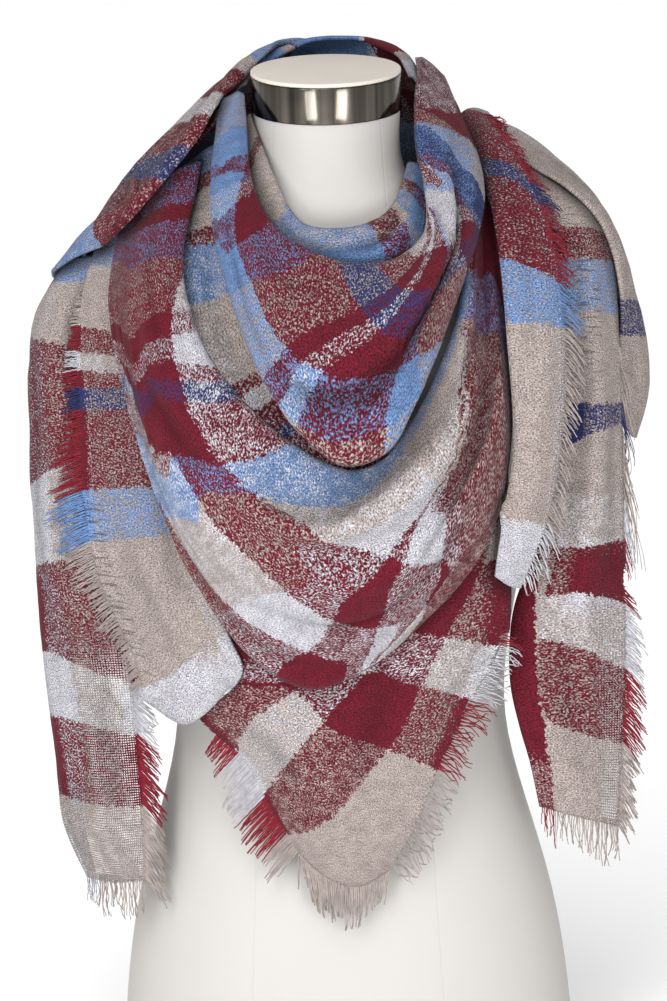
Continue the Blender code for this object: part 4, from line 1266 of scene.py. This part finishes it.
def make_sheet(cloth, name):
    """One stretch of the scarf, as a thin wall of brushed check."""
    thickness = cloth.thickness / MM
    layer = make_layer(name, cloth.spacing / MM, thickness)
    net, u, v = layer["net"], layer["u"], layer["v"]
    rows, columns = net.shape[:2]
    corners = np.arange(rows * columns).reshape(rows, columns)
    faces = np.stack([corners[:-1, :-1], corners[:-1, 1:], corners[1:, 1:], corners[1:, :-1]], axis=-1)
    faces = faces.reshape(-1, 4)
    flat = net.reshape(-1, 3)
    facing = np.cross(flat[faces[:, 1]] - flat[faces[:, 0]], flat[faces[:, 3]] - flat[faces[:, 0]])
    if np.sum(facing * outward(net).reshape(-1, 3)[faces[:, 0]]) < 0:
        faces = faces[:, ::-1]
    item = mesh_object(name + "_cloth", flat, faces.tolist())
    warp = stripe_values(STRIPES[name][0], v, u)
    weft = stripe_values(STRIPES[name][1], u, v).T
    layer["stripes"] = (warp, weft)
    add_uv(item.data, "stripes", np.stack([warp.ravel(), weft.ravel()], axis=1))
    rates = [steepness(values, net).ravel() for values in (warp, weft)]
    add_uv(item.data, "rates", np.stack(rates, axis=1))
    over, down = np.meshgrid(u * layer["width"] * MM, v * layer["length"] * MM)
    add_uv(item.data, "threads", np.stack([over.ravel(), down.ravel()], axis=1))
    weft_share = 0.5 + patch_mask(name, "weft", u, v) - patch_mask(name, "warp", u, v)
    add_mask(item.data, "weft_share", weft_share)
    for kind in ("gauze", "slits", "frayed"):
        add_mask(item.data, kind, patch_mask(name, kind, u, v))
    wall = item.modifiers.new("Cloth thickness", "SOLIDIFY")
    wall.thickness = cloth.thickness
    wall.offset = 0.0
    dress(item, cloth_material(name + " check", cloth, *STRIPES[name]))
    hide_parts(name)
    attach(item, "root")
    layer["item"] = item
    return item


# ------------------------------------ fringes
def side_lines(layer, side):
    """An edge of a sheet, the line just inside it, its normals, and the stripe values along it."""
    nets = (layer["net"], outward(layer["net"]), *layer["stripes"])
    if side == "bottom":
        lines = [(net[-1], net[-2]) for net in nets]
    elif side == "left and bottom":
        lines = [(np.concatenate([net[:, 0], net[-1, 1:]]), np.concatenate([net[:, 1], net[-2, 1:]]))
                 for net in nets]
    else:
        edge, inner = (0, 1) if side == "left" else (-1, -2)
        lines = [(net[:, edge], net[:, inner]) for net in nets]
    (edge, inner), (facing, _), (warp, _), (weft, _) = lines
    return edge, inner, facing, warp, weft


def unit(vectors):
    """Vectors of length 1."""
    return vectors / (np.linalg.norm(vectors, axis=-1, keepdims=True) + 1e-9)


def yarn_tubes(name, paths, normals, radius, values):
    """Three-sided tapering tubes along many short paths, joined, with a stripe value pair each."""
    many, steps = paths.shape[:2]
    along = unit(np.gradient(paths, axis=1))
    side = unit(np.cross(along, normals[:, None]))
    over = np.cross(side, along)
    taper = radius * np.linspace(1.0, TIP_THICKNESS, steps)[None, :, None]
    rings = []
    for k in range(3):
        angle = 2 * math.pi * k / 3
        rings.append(paths + taper * (math.cos(angle) * side + math.sin(angle) * over))
    points = np.stack(rings, axis=2).reshape(-1, 3)
    faces = []
    for yarn in range(many):
        base = yarn * steps * 3
        faces.append((base, base + 2, base + 1))
        for step in range(steps - 1):
            a = base + step * 3
            for k in range(3):
                b = (k + 1) % 3
                faces.append((a + k, a + b, a + 3 + b, a + 3 + k))
        end = base + (steps - 1) * 3
        faces.append((end, end + 1, end + 2))
    item = mesh_object(name, points, faces)
    add_uv(item.data, "stripes", np.repeat(values, steps * 3, axis=0))
    return item


def yarn_path(draws, root, out, normal, sideways, reach, fall, pull, curl):
    """The places along one yarn, which droops, leans into its clump, and curls."""
    t = np.linspace(0, 1, YARN_POINTS)[:, None]
    down = np.array((0, 0, -1))
    ahead = unit(out * (1 - fall) + down * fall)
    path = root - ahead * YARN_ROOT + (reach + YARN_ROOT) * ahead * t + down * YARN_SAG * reach * t**2
    path += sideways * pull * CLUMP_PULL * t**1.5 + normal * YARN_LIFT
    phase = draws.uniform(0, 6.28)
    turns = draws.uniform(*CURL_TURNS)
    size = curl * draws.uniform(*CURL_SIZES)
    path += sideways * size * t * np.sin(phase + turns * t)
    path += normal * (size * t * np.cos(phase + turns * t * 0.8) + draws.uniform(*TIP_STRAY) * t)
    path += sideways * KINK * np.sin(phase + KINK_TURNS * t)
    return path


def make_fringe(cloth, settings, fringe):
    """The loose ends of the yarns along one raw edge."""
    name = fringe.name
    layer = LAYERS[fringe.sheet]
    edge, inner, facing, warp, weft = side_lines(layer, fringe.side)
    lengths = np.concatenate([[0], np.cumsum(np.linalg.norm(np.diff(edge, axis=0), axis=1))])
    lines = (*edge.T, *inner.T, *facing.T, *unit(np.gradient(edge, axis=0)).T)
    first, last = fringe.start * lengths[-1], fringe.end * lengths[-1]
    many = int((last - first) / (fringe.pitch * settings.spacing))
    paths = np.zeros((many, YARN_POINTS, 3))
    normals = np.zeros((many, 3))
    values = np.zeros((many, 2))
    knots = np.linspace(0, 1, len(fringe.reaches))
    curl = fringe.tangle * settings.curl / MM
    shortest_clump = CLUMP_REACHES[0] - TANGLE_LOSS * min(fringe.tangle, 1)
    clump_end, clump_middle, clump_reach = 0.0, 0.0, 1.0
    draws = random.Random(name)
    for k in range(many):
        share = (k + draws.uniform(*YARN_JITTER)) / many
        place = first + (last - first) * share
        if place > clump_end:
            size = draws.uniform(*CLUMP_SIZES)
            clump_end = place + size
            clump_middle = place + size * draws.uniform(*CLUMP_MIDDLES)
            clump_reach = draws.uniform(shortest_clump, CLUMP_REACHES[1])
        read = [np.interp(place, lengths, line) for line in lines]
        root, back, normal, sideways = np.array(read).reshape(4, 3)
        normal = unit(normal)
        reach = np.interp(share, knots, fringe.reaches) * clump_reach
        reach *= YARN_REACH - YARN_LOSS * draws.random() ** 3
        fall = np.interp(share, (0.0, 1.0), fringe.droop)
        pull = clump_middle - place
        paths[k] = yarn_path(draws, root, unit(root - back), normal, sideways, reach, fall, pull, curl)
        normals[k] = normal
        values[k] = (np.interp(place, lengths, warp), np.interp(place, lengths, weft))
    off_cloth = cloth.thickness / MM / 2 + YARN_OVER_CLOTH
    carriers = [(LAYERS[other]["fine"][0], off_cloth) for other in fringe.lies_on]
    for _ in range(3 if carriers else 0):
        moves, _spare = clearing_moves(paths[:, 1:].reshape(-1, 3), carriers, share=1.0, largest=4.0)
        paths[:, 1:] += moves.reshape(many, YARN_POINTS - 1, 3)
    radius = fringe.thickness * settings.thickness / 2
    item = yarn_tubes(name + "_yarns", paths, normals, radius, values)
    along_warp = fringe.stripes == "warp"
    bands = STRIPES[fringe.sheet][0 if along_warp else 1]
    dress(item, fringe_material(name + " yarn", cloth, bands, along_warp))
    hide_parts(name)
    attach(item, "root")
    return item


# ------------------------------------ settings
def colour_setting(name, description, value):
    """A colour that a user can change."""
    return bpy.props.FloatVectorProperty(name=name, description=description, subtype="COLOR", size=3,
                                         min=0.0, max=1.0, default=value)


def length_setting(name, description, value):
    """A length that a user can change."""
    return bpy.props.FloatProperty(name=name, description=description, default=value, min=0.0,
                                   subtype="DISTANCE", unit="LENGTH", precision=5)


def factor_setting(name, description, value):
    """A share from 0 to 1 that a user can change."""
    return bpy.props.FloatProperty(name=name, description=description, default=value, min=0.0, max=1.0,
                                   subtype="FACTOR")


class ScarfClothSettings(bpy.types.PropertyGroup):
    """The brushed cloth and the colours of its yarns"""
    thickness: length_setting("Thickness", "Thickness of the brushed cloth", 0.0026)
    spacing: length_setting("Net spacing", "Distance between the points of a sheet", 0.004)
    speck_size: length_setting("Speck size", "Size of the specks where two colours cross", 0.00138)
    speck_softness: factor_setting("Speck softness", "How softly one colour turns into the other", 0.085)
    grain_contrast: factor_setting("Grain contrast", "Lightness difference between the fibres", 0.88)
    raggedness: length_setting("Raggedness", "How far the border of a stripe wanders", 0.012)
    nap_depth: length_setting("Nap depth", "Height of the brushed surface", 0.002)
    nap_strength: factor_setting("Nap strength", "Strength of the nap in the light", 0.8)
    sheen: factor_setting("Sheen", "Soft light on the fibre ends", 0.04)
    burgundy: colour_setting("Burgundy", "Dark red yarn", (0.0760, 0.0038, 0.0105))
    red: colour_setting("Red", "Brighter red yarn of the raw edges", (0.1350, 0.0080, 0.0170))
    blue: colour_setting("Blue", "Light blue yarn", (0.0840, 0.1450, 0.2800))
    beige: colour_setting("Beige", "Warm grey yarn", (0.2280, 0.1920, 0.1790))
    lavender: colour_setting("Lavender", "Pale grey yarn with a violet tint", (0.3000, 0.2940, 0.3180))
    navy: colour_setting("Navy", "Dark blue yarn", (0.0140, 0.0180, 0.0700))


class ScarfFringeSettings(bpy.types.PropertyGroup):
    """The loose yarns of the raw edges"""
    thickness: bpy.props.FloatProperty(name="Thickness", default=1.0, min=0.1,
                                       description="Thickness of the yarns, times the table's")
    spacing: bpy.props.FloatProperty(name="Spacing", default=1.0, min=0.1,
                                     description="Spacing of the yarns, times the table's")
    curl: length_setting("Curl", "How far a tangled yarn bends out of its line", 0.0030)


class DressFormSettings(bpy.types.PropertyGroup):
    """The colours of the dress form"""
    cover: colour_setting("Cover", "Smooth off-white cover", (0.372, 0.357, 0.342))
    # partly painted reflection: the metal's colour is made very dark so that the pale room mirrored in it
    # looks like a dark one
    chrome: colour_setting("Chrome", "Polished neck band", (0.118, 0.106, 0.090))
    cap: colour_setting("Cap", "Matte neck cap", (0.51, 0.462, 0.41))


class StageSettings(bpy.types.PropertyGroup):
    """The floor, the camera and the lights"""
    floor: colour_setting("Floor", "Plain pale floor", (0.97, 0.97, 0.97))
    distance: length_setting("Distance", "From the camera to the form", 3.0)
    seen_width: length_setting("Seen width", "Width of the picture at the form", 0.52026)
    pitch: bpy.props.FloatProperty(name="Pitch", description="How far the camera looks down",
                                   default=math.radians(10), subtype="ANGLE", unit="ROTATION")
    roll: bpy.props.FloatProperty(name="Roll", description="How far the camera leans",
                                  default=math.radians(-1.4), subtype="ANGLE", unit="ROTATION")
    sun: bpy.props.FloatProperty(name="Sun", description="Strength of the broad light from above",
                                 default=1.45, min=0.0)
    key: bpy.props.FloatProperty(name="Key light", description="Power of the main soft box",
                                 default=27.0, min=0.0, unit="POWER")
    strip: bpy.props.FloatProperty(name="Strip lights", description="Power of each narrow light",
                                   default=8.0, min=0.0, unit="POWER")
    room: bpy.props.FloatProperty(name="Room", description="Strength of the light from all round",
                                  default=0.65, min=0.0)


# ------------------------------------ the dress form
def neck_coordinates(tree):
    """Object coordinates turned so that Z runs along the leaning neck."""
    inputs = {"Vector": object_place(tree), "Rotation": (-NECK_LEAN, 0.0, 0.0)}
    return add_node(tree, "ShaderNodeMapping", inputs).outputs[0]


def neck_disc(name, radius, bottom, top, sides=96):
    """A round block of the leaning neck between two heights of its axis, added at its size and place."""
    middle = (bottom + top) / 2
    forward = NECK_FORWARD + (middle - BAND_BOTTOM) * math.tan(NECK_LEAN)
    select_nothing()
    bpy.ops.mesh.primitive_cylinder_add(vertices=sides, radius=radius * MM,
                                        depth=(top - bottom) / math.cos(NECK_LEAN) * MM,
                                        location=(0.0, -forward * MM, middle * MM),
                                        rotation=(NECK_LEAN, 0.0, 0.0))
    item = bpy.context.object
    item.name = name
    item.data.name = name
    return item


def bevel_rims(item, width, segments):
    """Round the two round edges of a disc."""
    bpy.ops.object.mode_set(mode="EDIT")
    bpy.ops.mesh.select_mode(type="FACE")
    bpy.ops.mesh.select_all(action="DESELECT")
    shape = bmesh.from_edit_mesh(item.data)
    for face in shape.faces:
        face.select_set(len(face.verts) > 4)
    bmesh.update_edit_mesh(item.data)
    bpy.ops.mesh.bevel(offset=width * MM, segments=segments, affect="EDGES")
    bpy.ops.object.mode_set(mode="OBJECT")
    bpy.ops.object.transform_apply(location=True, rotation=True, scale=True)
    bpy.ops.object.shade_smooth_by_angle(angle=math.radians(35))


class SCARF_OT_form_cover(bpy.types.Operator):
    """Model the smooth torso and neck of the dress form"""
    bl_idname = "scarf.form_cover"
    bl_label = "Form cover"

    def execute(self, context):
        form = context.scene.dress_form
        select_nothing()
        first = FORM[0]
        bpy.ops.mesh.primitive_circle_add(vertices=FORM_SIDES, radius=first[1] * MM, fill_type="NGON")
        item = context.object
        item.name = "form_cover"
        item.data.name = "form_cover"
        bpy.ops.object.mode_set(mode="EDIT")
        self.shape_halves(item, (first[0], first[1], first[1], first[1]), first)
        neck = CAP_RADIUS - COVER_STEP
        levels = (*FORM, (BAND_BOTTOM - PART_GAP, neck, neck, neck))
        for below, above in zip(levels, levels[1:]):
            rise = (above[0] - below[0]) * MM
            bpy.ops.mesh.extrude_region_move(TRANSFORM_OT_translate={"value": (0.0, 0.0, rise)})
            self.shape_halves(item, below, above)
        bpy.ops.transform.translate(value=(0.0, -NECK_FORWARD * MM, 0.0))
        self.lean_top(item)
        self.hold_rims(item)
        bpy.ops.mesh.select_all(action="SELECT")
        bpy.ops.mesh.normals_make_consistent(inside=False)
        bpy.ops.object.mode_set(mode="OBJECT")
        smooth = item.modifiers.new("Smooth", "SUBSURF")
        smooth.levels = 2
        smooth.render_levels = 2
        bpy.ops.object.modifier_apply(modifier=smooth.name)
        item.data.shade_smooth()
        bpy.ops.object.shade_smooth_by_angle(angle=math.radians(40))
        dress(item, self.material(form))
        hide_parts("form_body")
        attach(item, "root")
        return {"FINISHED"}

    def shape_halves(self, item, old, new):
        """Scale the chosen ring to its width, and its front and back half to their depths."""
        bpy.ops.transform.resize(value=(new[1] / old[1], 1.0, 1.0),
                                 center_override=(0.0, 0.0, new[0] * MM))
        shape = bmesh.from_edit_mesh(item.data)
        ring = [corner for corner in shape.verts if corner.select]
        for sign, depth in ((-1, 2), (1, 3)):
            factor = new[depth] / old[depth]
            half = [corner for corner in ring if corner.co.y * sign > 1e-6]
            bmesh.ops.scale(shape, vec=(1.0, factor, 1.0), verts=half)
        bmesh.update_edit_mesh(item.data)

    def lean_top(self, item):
        """Lean the top ring with the neck: its front goes down."""
        shape = bmesh.from_edit_mesh(item.data)
        middle = Vector((0.0, -NECK_FORWARD * MM, (BAND_BOTTOM - PART_GAP) * MM))
        ring = [corner for corner in shape.verts if corner.select]
        turn = Matrix.Rotation(NECK_LEAN, 3, "X")
        bmesh.ops.rotate(shape, verts=ring, cent=middle, matrix=turn)
        bmesh.update_edit_mesh(item.data)

    def hold_rims(self, item):
        """Keep the edges of the two end faces sharp under the smoothing."""
        bpy.ops.mesh.select_mode(type="FACE")
        shape = bmesh.from_edit_mesh(item.data)
        for face in shape.faces:
            face.select_set(len(face.verts) > 4)
        bmesh.update_edit_mesh(item.data)
        bpy.ops.mesh.region_to_loop()
        bpy.ops.transform.edge_crease(value=1.0)

    def material(self, form):
        """Smooth satin cover with fine seam lines down the panels."""
        material, tree, shader = new_material("Form cover")
        place = object_place(tree)
        slow = noise_node(tree, place, 9.0, 2.0)
        fine = noise_node(tree, place, 1400.0, 2.0)
        across, _depth, up = split(tree, place)
        line = plus(tree, SEAM_AT_BASE, times(tree, up, SEAM_TAPER))
        off = minus(tree, math_node(tree, "ABSOLUTE", across), line)
        seam = span_node(tree, math_node(tree, "ABSOLUTE", off), 0.0, SEAM_WIDTH, 1.0, 0.0)
        light = plus(tree, 0.97, times(tree, slow, 0.06))
        light = minus(tree, light, times(tree, seam, 0.035))
        height = minus(tree, times(tree, fine, 0.15), seam)
        set_inputs(tree, shader, {
            "Base Color": toned(tree, (*form.cover, 1.0), light),
            "Roughness": span_node(tree, slow, 0.3, 0.7, 0.50, 0.62),
            "Normal": bump_node(tree, 0.25, 0.0006, height),
            "Specular IOR Level": 0.3,
        })
        return material


class SCARF_OT_neck_band(bpy.types.Operator):
    """Model the polished band round the neck of the form"""
    bl_idname = "scarf.neck_band"
    bl_label = "Neck band"

    def execute(self, context):
        item = neck_disc("neck_chrome", CAP_RADIUS, BAND_BOTTOM, BAND_TOP)
        bevel_rims(item, 0.7, 3)
        dress(item, self.material(context.scene.dress_form))
        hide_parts("neck_band")
        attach(item, "root")
        return {"FINISHED"}

    def material(self, form):
        """Polished metal with painted reflections: its colour is streaked light and dark round the neck,
        and its roughness follows the same streaks.
        """
        material, tree, shader = new_material("Neck chrome")
        # painted reflection: light and dark vertical streaks round the neck in the base colour
        reflection_place = stretched(tree, neck_coordinates(tree), (90.0, 90.0, 1.5))
        painted_reflection_streaks = noise_node(tree, reflection_place, 1.0, 2.0, 0.6)
        light = span_node(tree, painted_reflection_streaks, 0.35, 0.65, 0.35, 1.15)
        set_inputs(tree, shader, {
            "Base Color": toned(tree, (*form.chrome, 1.0), light),
            "Roughness": span_node(tree, painted_reflection_streaks, 0.3, 0.7, 0.08, 0.16),
            "Metallic": 1.0,
        })
        return material


class SCARF_OT_neck_cap(bpy.types.Operator):
    """Model the matte cap on the neck of the form"""
    bl_idname = "scarf.neck_cap"
    bl_label = "Neck cap"

    def execute(self, context):
        item = neck_disc("cap_disc", CAP_RADIUS, BAND_TOP + PART_GAP, CAP_TOP)
        bevel_rims(item, 1.2, 4)
        dress(item, self.material(context.scene.dress_form))
        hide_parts("neck_cap")
        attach(item, "root")
        return {"FINISHED"}

    def material(self, form):
        """Matte beige plastic with a fine grain."""
        material, tree, shader = new_material("Cap plastic")
        place = object_place(tree)
        slow = noise_node(tree, place, 25.0, 2.0)
        fine = noise_node(tree, place, 1500.0, 2.0)
        light = span_node(tree, slow, 0.2, 0.8, 0.95, 1.05)
        set_inputs(tree, shader, {
            "Base Color": toned(tree, (*form.cap, 1.0), light),
            "Roughness": span_node(tree, fine, 0.3, 0.7, 0.45, 0.55),
            "Normal": bump_node(tree, 0.15, 0.0003, fine),
        })
        return material


class SCARF_OT_layers_start(bpy.types.Operator):
    """Measure the form that the innermost layers lie on"""
    bl_idname = "scarf.layers_start"
    bl_label = "Measure the form"

    def execute(self, context):
        rings = []
        for z, width, front, back in FORM:
            rings.append(form_ring(z, width, front, back))
        for z in (BAND_BOTTOM, CAP_TOP):
            rings.append(neck_ring(z, CAP_RADIUS))
        points = np.concatenate(rings)
        faces = []
        for k in range(len(rings) - 1):
            for i in range(RING_SIDES):
                a = k * RING_SIDES + i
                b = k * RING_SIDES + (i + 1) % RING_SIDES
                faces.append((a, b, b + RING_SIDES, a + RING_SIDES))
        tree = BVHTree.FromPolygons(points.tolist(), faces)
        coarse, fine = FORM_CLEARANCES
        LAYERS["form"] = {"coarse": (tree, coarse), "fine": (tree, fine)}
        return {"FINISHED"}


def form_ring(z, half_width, front, back):
    """A cross-section of the torso, a little squarer than an ellipse below the shoulders."""
    exponent = 2.25 if z < 640 else 2.0
    angle = 2 * np.pi * np.arange(RING_SIDES) / RING_SIDES
    s, c = np.sin(angle), np.cos(angle)
    depth = np.where(c > 0, front, back)
    x = half_width * np.sign(s) * np.abs(s) ** (2 / exponent)
    f = depth * np.sign(c) * np.abs(c) ** (2 / exponent)
    return np.stack([x, -f, np.full(RING_SIDES, float(z))], axis=1)


def neck_ring(z, radius):
    """A ring of the leaning neck, cut square to its own axis."""
    angle = 2 * np.pi * np.arange(RING_SIDES) / RING_SIDES
    forward = radius * np.cos(angle)
    middle = NECK_FORWARD + (z - BAND_BOTTOM) * math.tan(NECK_LEAN)
    return np.stack([radius * np.sin(angle), -(middle + forward * math.cos(NECK_LEAN)),
                     z - forward * math.sin(NECK_LEAN)], axis=1)


# ------------------------------------ the scarf
def make_sheets(context, *names):
    """Make some stretches of the scarf, in the order given."""
    for name in names:
        make_sheet(context.scene.scarf_cloth, name)
    return {"FINISHED"}


class SCARF_OT_back(bpy.types.Operator):
    """Drape the layers that cover the shoulders and the back"""
    bl_idname = "scarf.back"
    bl_label = "Back layers"

    def execute(self, context):
        return make_sheets(context, "back_wrap", "back_swag")


class SCARF_OT_tails(bpy.types.Operator):
    """Hang the two tails and the outer layer of the right shoulder"""
    bl_idname = "scarf.tails"
    bl_label = "Tails"

    def execute(self, context):
        return make_sheets(context, "right_tail", "right_outer", "left_tail")


class SCARF_OT_point(bpy.types.Operator):
    """Hang the pointed bib and the raw-edged panel beside it"""
    bl_idname = "scarf.point"
    bl_label = "Bib and panel"

    def execute(self, context):
        return make_sheets(context, "bib", "left_panel")


class SCARF_OT_neck_folds(bpy.types.Operator):
    """Lay the loop next to the neck and the fold below it"""
    bl_idname = "scarf.neck_folds"
    bl_label = "Neck folds"

    def execute(self, context):
        return make_sheets(context, "inner_loop", "under_fold")


class SCARF_OT_main_swag(bpy.types.Operator):
    """Hang the large swag across the chest"""
    bl_idname = "scarf.main_swag"
    bl_label = "Main swag"

    def execute(self, context):
        return make_sheets(context, "main_swag")


class SCARF_OT_right_front(bpy.types.Operator):
    """Hang the raw-edged front layer of the right shoulder"""
    bl_idname = "scarf.right_front"
    bl_label = "Right front"

    def execute(self, context):
        return make_sheets(context, "right_front")


class SCARF_OT_cowl(bpy.types.Operator):
    """Lay the deep cowl over the swag"""
    bl_idname = "scarf.cowl"
    bl_label = "Cowl"

    def execute(self, context):
        return make_sheets(context, "cowl")


class SCARF_OT_left_shoulder(bpy.types.Operator):
    """Lay the roll over the left shoulder"""
    bl_idname = "scarf.left_shoulder"
    bl_label = "Left shoulder"

    def execute(self, context):
        return make_sheets(context, "left_shoulder")


def contact_shade(name):
    """How dark the painted shade is at each point of a sheet, from 0 to 1: near a layer over it, and deep
    in a crease.
    """
    layer = LAYERS[name]
    # painted shade: dark deep in creases, then near each layer that lies over this one
    dark = DEEP_CREASE_SHADE * np.clip(layer["relief"] / -DEEP_CREASE, 0, 1).ravel()
    for upper, sheet in SHEETS.items():
        if name not in sheet.lies_on:
            continue
        strength = LIGHTER_CONTACT_PAINTED_SHADE.get((name, upper), CONTACT_PAINTED_SHADE[upper])
        tree = LAYERS[upper]["fine"][0]
        for k, point in enumerate(layer["net"].reshape(-1, 3)):
            found, _facing, _face, distance = tree.find_nearest(Vector(point), SHADE_REACH)
            if found is not None:
                near = min(1.0, (SHADE_REACH - distance) / (SHADE_REACH - SHADE_FULL))
                dark[k] = max(dark[k], strength * near)
    return dark


class SCARF_OT_contact_shade(bpy.types.Operator):
    """Paint shade into each layer, as a mask that darkens its colour where it is deep in a crease or
    close under another one
    """
    bl_idname = "scarf.contact_shade"
    bl_label = "Contact shade"

    def execute(self, context):
        for name in SHEETS:
            add_mask(LAYERS[name]["item"].data, "hollow", contact_shade(name))
        return {"FINISHED"}


class SCARF_OT_fringes(bpy.types.Operator):
    """Let the loose yarns hang from the raw edges"""
    bl_idname = "scarf.fringes"
    bl_label = "Fringes"

    def execute(self, context):
        scene = context.scene
        trims = {}
        for fringe in FRINGES:
            item = make_fringe(scene.scarf_cloth, scene.scarf_fringe, fringe)
            trims.setdefault(fringe.sheet, []).append(item)
        return {"FINISHED"}


# ------------------------------------ the stage
class SCARF_OT_stage(bpy.types.Operator):
    """Set up the floor, the lights and the camera"""
    bl_idname = "scarf.stage"
    bl_label = "Stage"

    def execute(self, context):
        stage = context.scene.scarf_stage
        self.camera(context, stage)
        self.floor(stage)
        self.lights(stage)
        self.room(context, stage)
        context.scene.view_settings.view_transform = "Standard"
        return {"FINISHED"}

    def camera(self, context, stage):
        """A long lens that looks down a little."""
        data = bpy.data.cameras.new("Camera")
        data.sensor_fit = "HORIZONTAL"
        data.sensor_width = SENSOR_WIDTH
        data.lens = SENSOR_WIDTH * stage.distance / stage.seen_width
        camera = bpy.data.objects.new("Camera", data)
        context.scene.collection.objects.link(camera)
        ahead = Vector((0.0, math.cos(stage.pitch), -math.sin(stage.pitch)))
        aim = Vector(CAMERA_AIM)
        turn = ahead.to_track_quat("-Z", "Y").to_matrix().to_4x4()
        lean = Matrix.Rotation(stage.roll, 4, "Z")
        camera.matrix_world = Matrix.Translation(aim - ahead * stage.distance) @ turn @ lean
        context.scene.camera = camera

    def floor(self, stage):
        """A wide, pale, matte plane."""
        select_nothing()
        bpy.ops.mesh.primitive_plane_add(size=FLOOR_SIZE)
        item = bpy.context.object
        item.name = "floor"
        material, tree, shader = new_material("Pale floor")
        slow = noise_node(tree, object_place(tree), 3.0, 2.0)
        light = span_node(tree, slow, 0.3, 0.7, 0.996, 1.004)
        set_inputs(tree, shader, {
            "Base Color": toned(tree, (*stage.floor, 1.0), light),
            "Roughness": 0.9,
            "Specular IOR Level": 0.1,
        })
        dress(item, material)

    def lights(self, stage):
        """A broad light from above, a soft box at the left, and a strip for each bar in the chrome."""
        sun = self.light("Sun", "SUN", stage.sun, SUN_DIRECTION)
        sun.data.angle = SUN_ANGLE
        # name, power, width, height, place, aim
        table = (
            ("Key", stage.key, 1.0, 1.0, (-1.1, -2.1, 1.9), (0.0, 0.0, 0.5)),
            ("Left strip", stage.strip, 0.36, 0.6, (-0.53, -1.19, 0.36), (0.0, 0.0, 0.77)),
            ("Right strip", stage.strip, 0.36, 0.6, (0.51, -1.19, 0.36), (0.0, 0.0, 0.77)),
        )
        for name, power, width, height, place, aim in table:
            box = self.light(name, "AREA", power, Vector(aim) - Vector(place))
            box.location = place
            box.data.shape = "RECTANGLE"
            box.data.size = width
            box.data.size_y = height

    def light(self, name, kind, power, direction):
        """A lamp that shines in a direction."""
        data = bpy.data.lights.new(name, kind)
        data.energy = power
        lamp = bpy.data.objects.new(name, data)
        lamp.rotation_euler = Vector(direction).to_track_quat("-Z", "Y").to_euler()
        bpy.context.scene.collection.objects.link(lamp)
        return lamp

    def room(self, context, stage):
        """Even light from all round."""
        world = bpy.data.worlds.new("Room")
        world.use_nodes = True
        back = world.node_tree.nodes["Background"]
        back.inputs["Color"].default_value = (1.0, 1.0, 1.0, 1.0)
        back.inputs["Strength"].default_value = stage.room
        context.scene.world = world


# ------------------------------------ the add-on
STEPS = (
    SCARF_OT_stage,
    SCARF_OT_form_cover,
    SCARF_OT_neck_band,
    SCARF_OT_neck_cap,
    SCARF_OT_layers_start,
    SCARF_OT_back,
    SCARF_OT_tails,
    SCARF_OT_point,
    SCARF_OT_neck_folds,
    SCARF_OT_main_swag,
    SCARF_OT_right_front,
    SCARF_OT_cowl,
    SCARF_OT_left_shoulder,
    SCARF_OT_contact_shade,
    SCARF_OT_fringes,
)


class SCARF_PT_panel(bpy.types.Panel):
    """The steps that build the scarf, in order"""
    bl_label = "Blanket scarf"
    bl_idname = "SCARF_PT_panel"
    bl_space_type = "VIEW_3D"
    bl_region_type = "UI"
    bl_category = "Scarf"

    def draw(self, context):
        for step in STEPS:
            self.layout.operator(step.bl_idname)


SETTINGS = (
    ("scarf_cloth", ScarfClothSettings),
    ("scarf_fringe", ScarfFringeSettings),
    ("dress_form", DressFormSettings),
    ("scarf_stage", StageSettings),
)


def register():
    """Add the settings, the steps and the panel."""
    for name, settings in SETTINGS:
        bpy.utils.register_class(settings)
        setattr(bpy.types.Scene, name, bpy.props.PointerProperty(type=settings))
    for step in STEPS:
        bpy.utils.register_class(step)
    bpy.utils.register_class(SCARF_PT_panel)


def unregister():
    """Take away what register added."""
    bpy.utils.unregister_class(SCARF_PT_panel)
    for step in reversed(STEPS):
        bpy.utils.unregister_class(step)
    for name, settings in reversed(SETTINGS):
        delattr(bpy.types.Scene, name)
        bpy.utils.unregister_class(settings)


def main():
    """Build the whole object, step by step."""
    register()
    bpy.ops.scarf.stage()
    bpy.ops.scarf.form_cover()
    bpy.ops.scarf.neck_band()
    bpy.ops.scarf.neck_cap()
    bpy.ops.scarf.layers_start()
    bpy.ops.scarf.back()
    bpy.ops.scarf.tails()
    bpy.ops.scarf.point()
    bpy.ops.scarf.neck_folds()
    bpy.ops.scarf.main_swag()
    bpy.ops.scarf.right_front()
    bpy.ops.scarf.cowl()
    bpy.ops.scarf.left_shoulder()
    bpy.ops.scarf.contact_shade()
    bpy.ops.scarf.fringes()


if __name__ == "__main__":
    main()
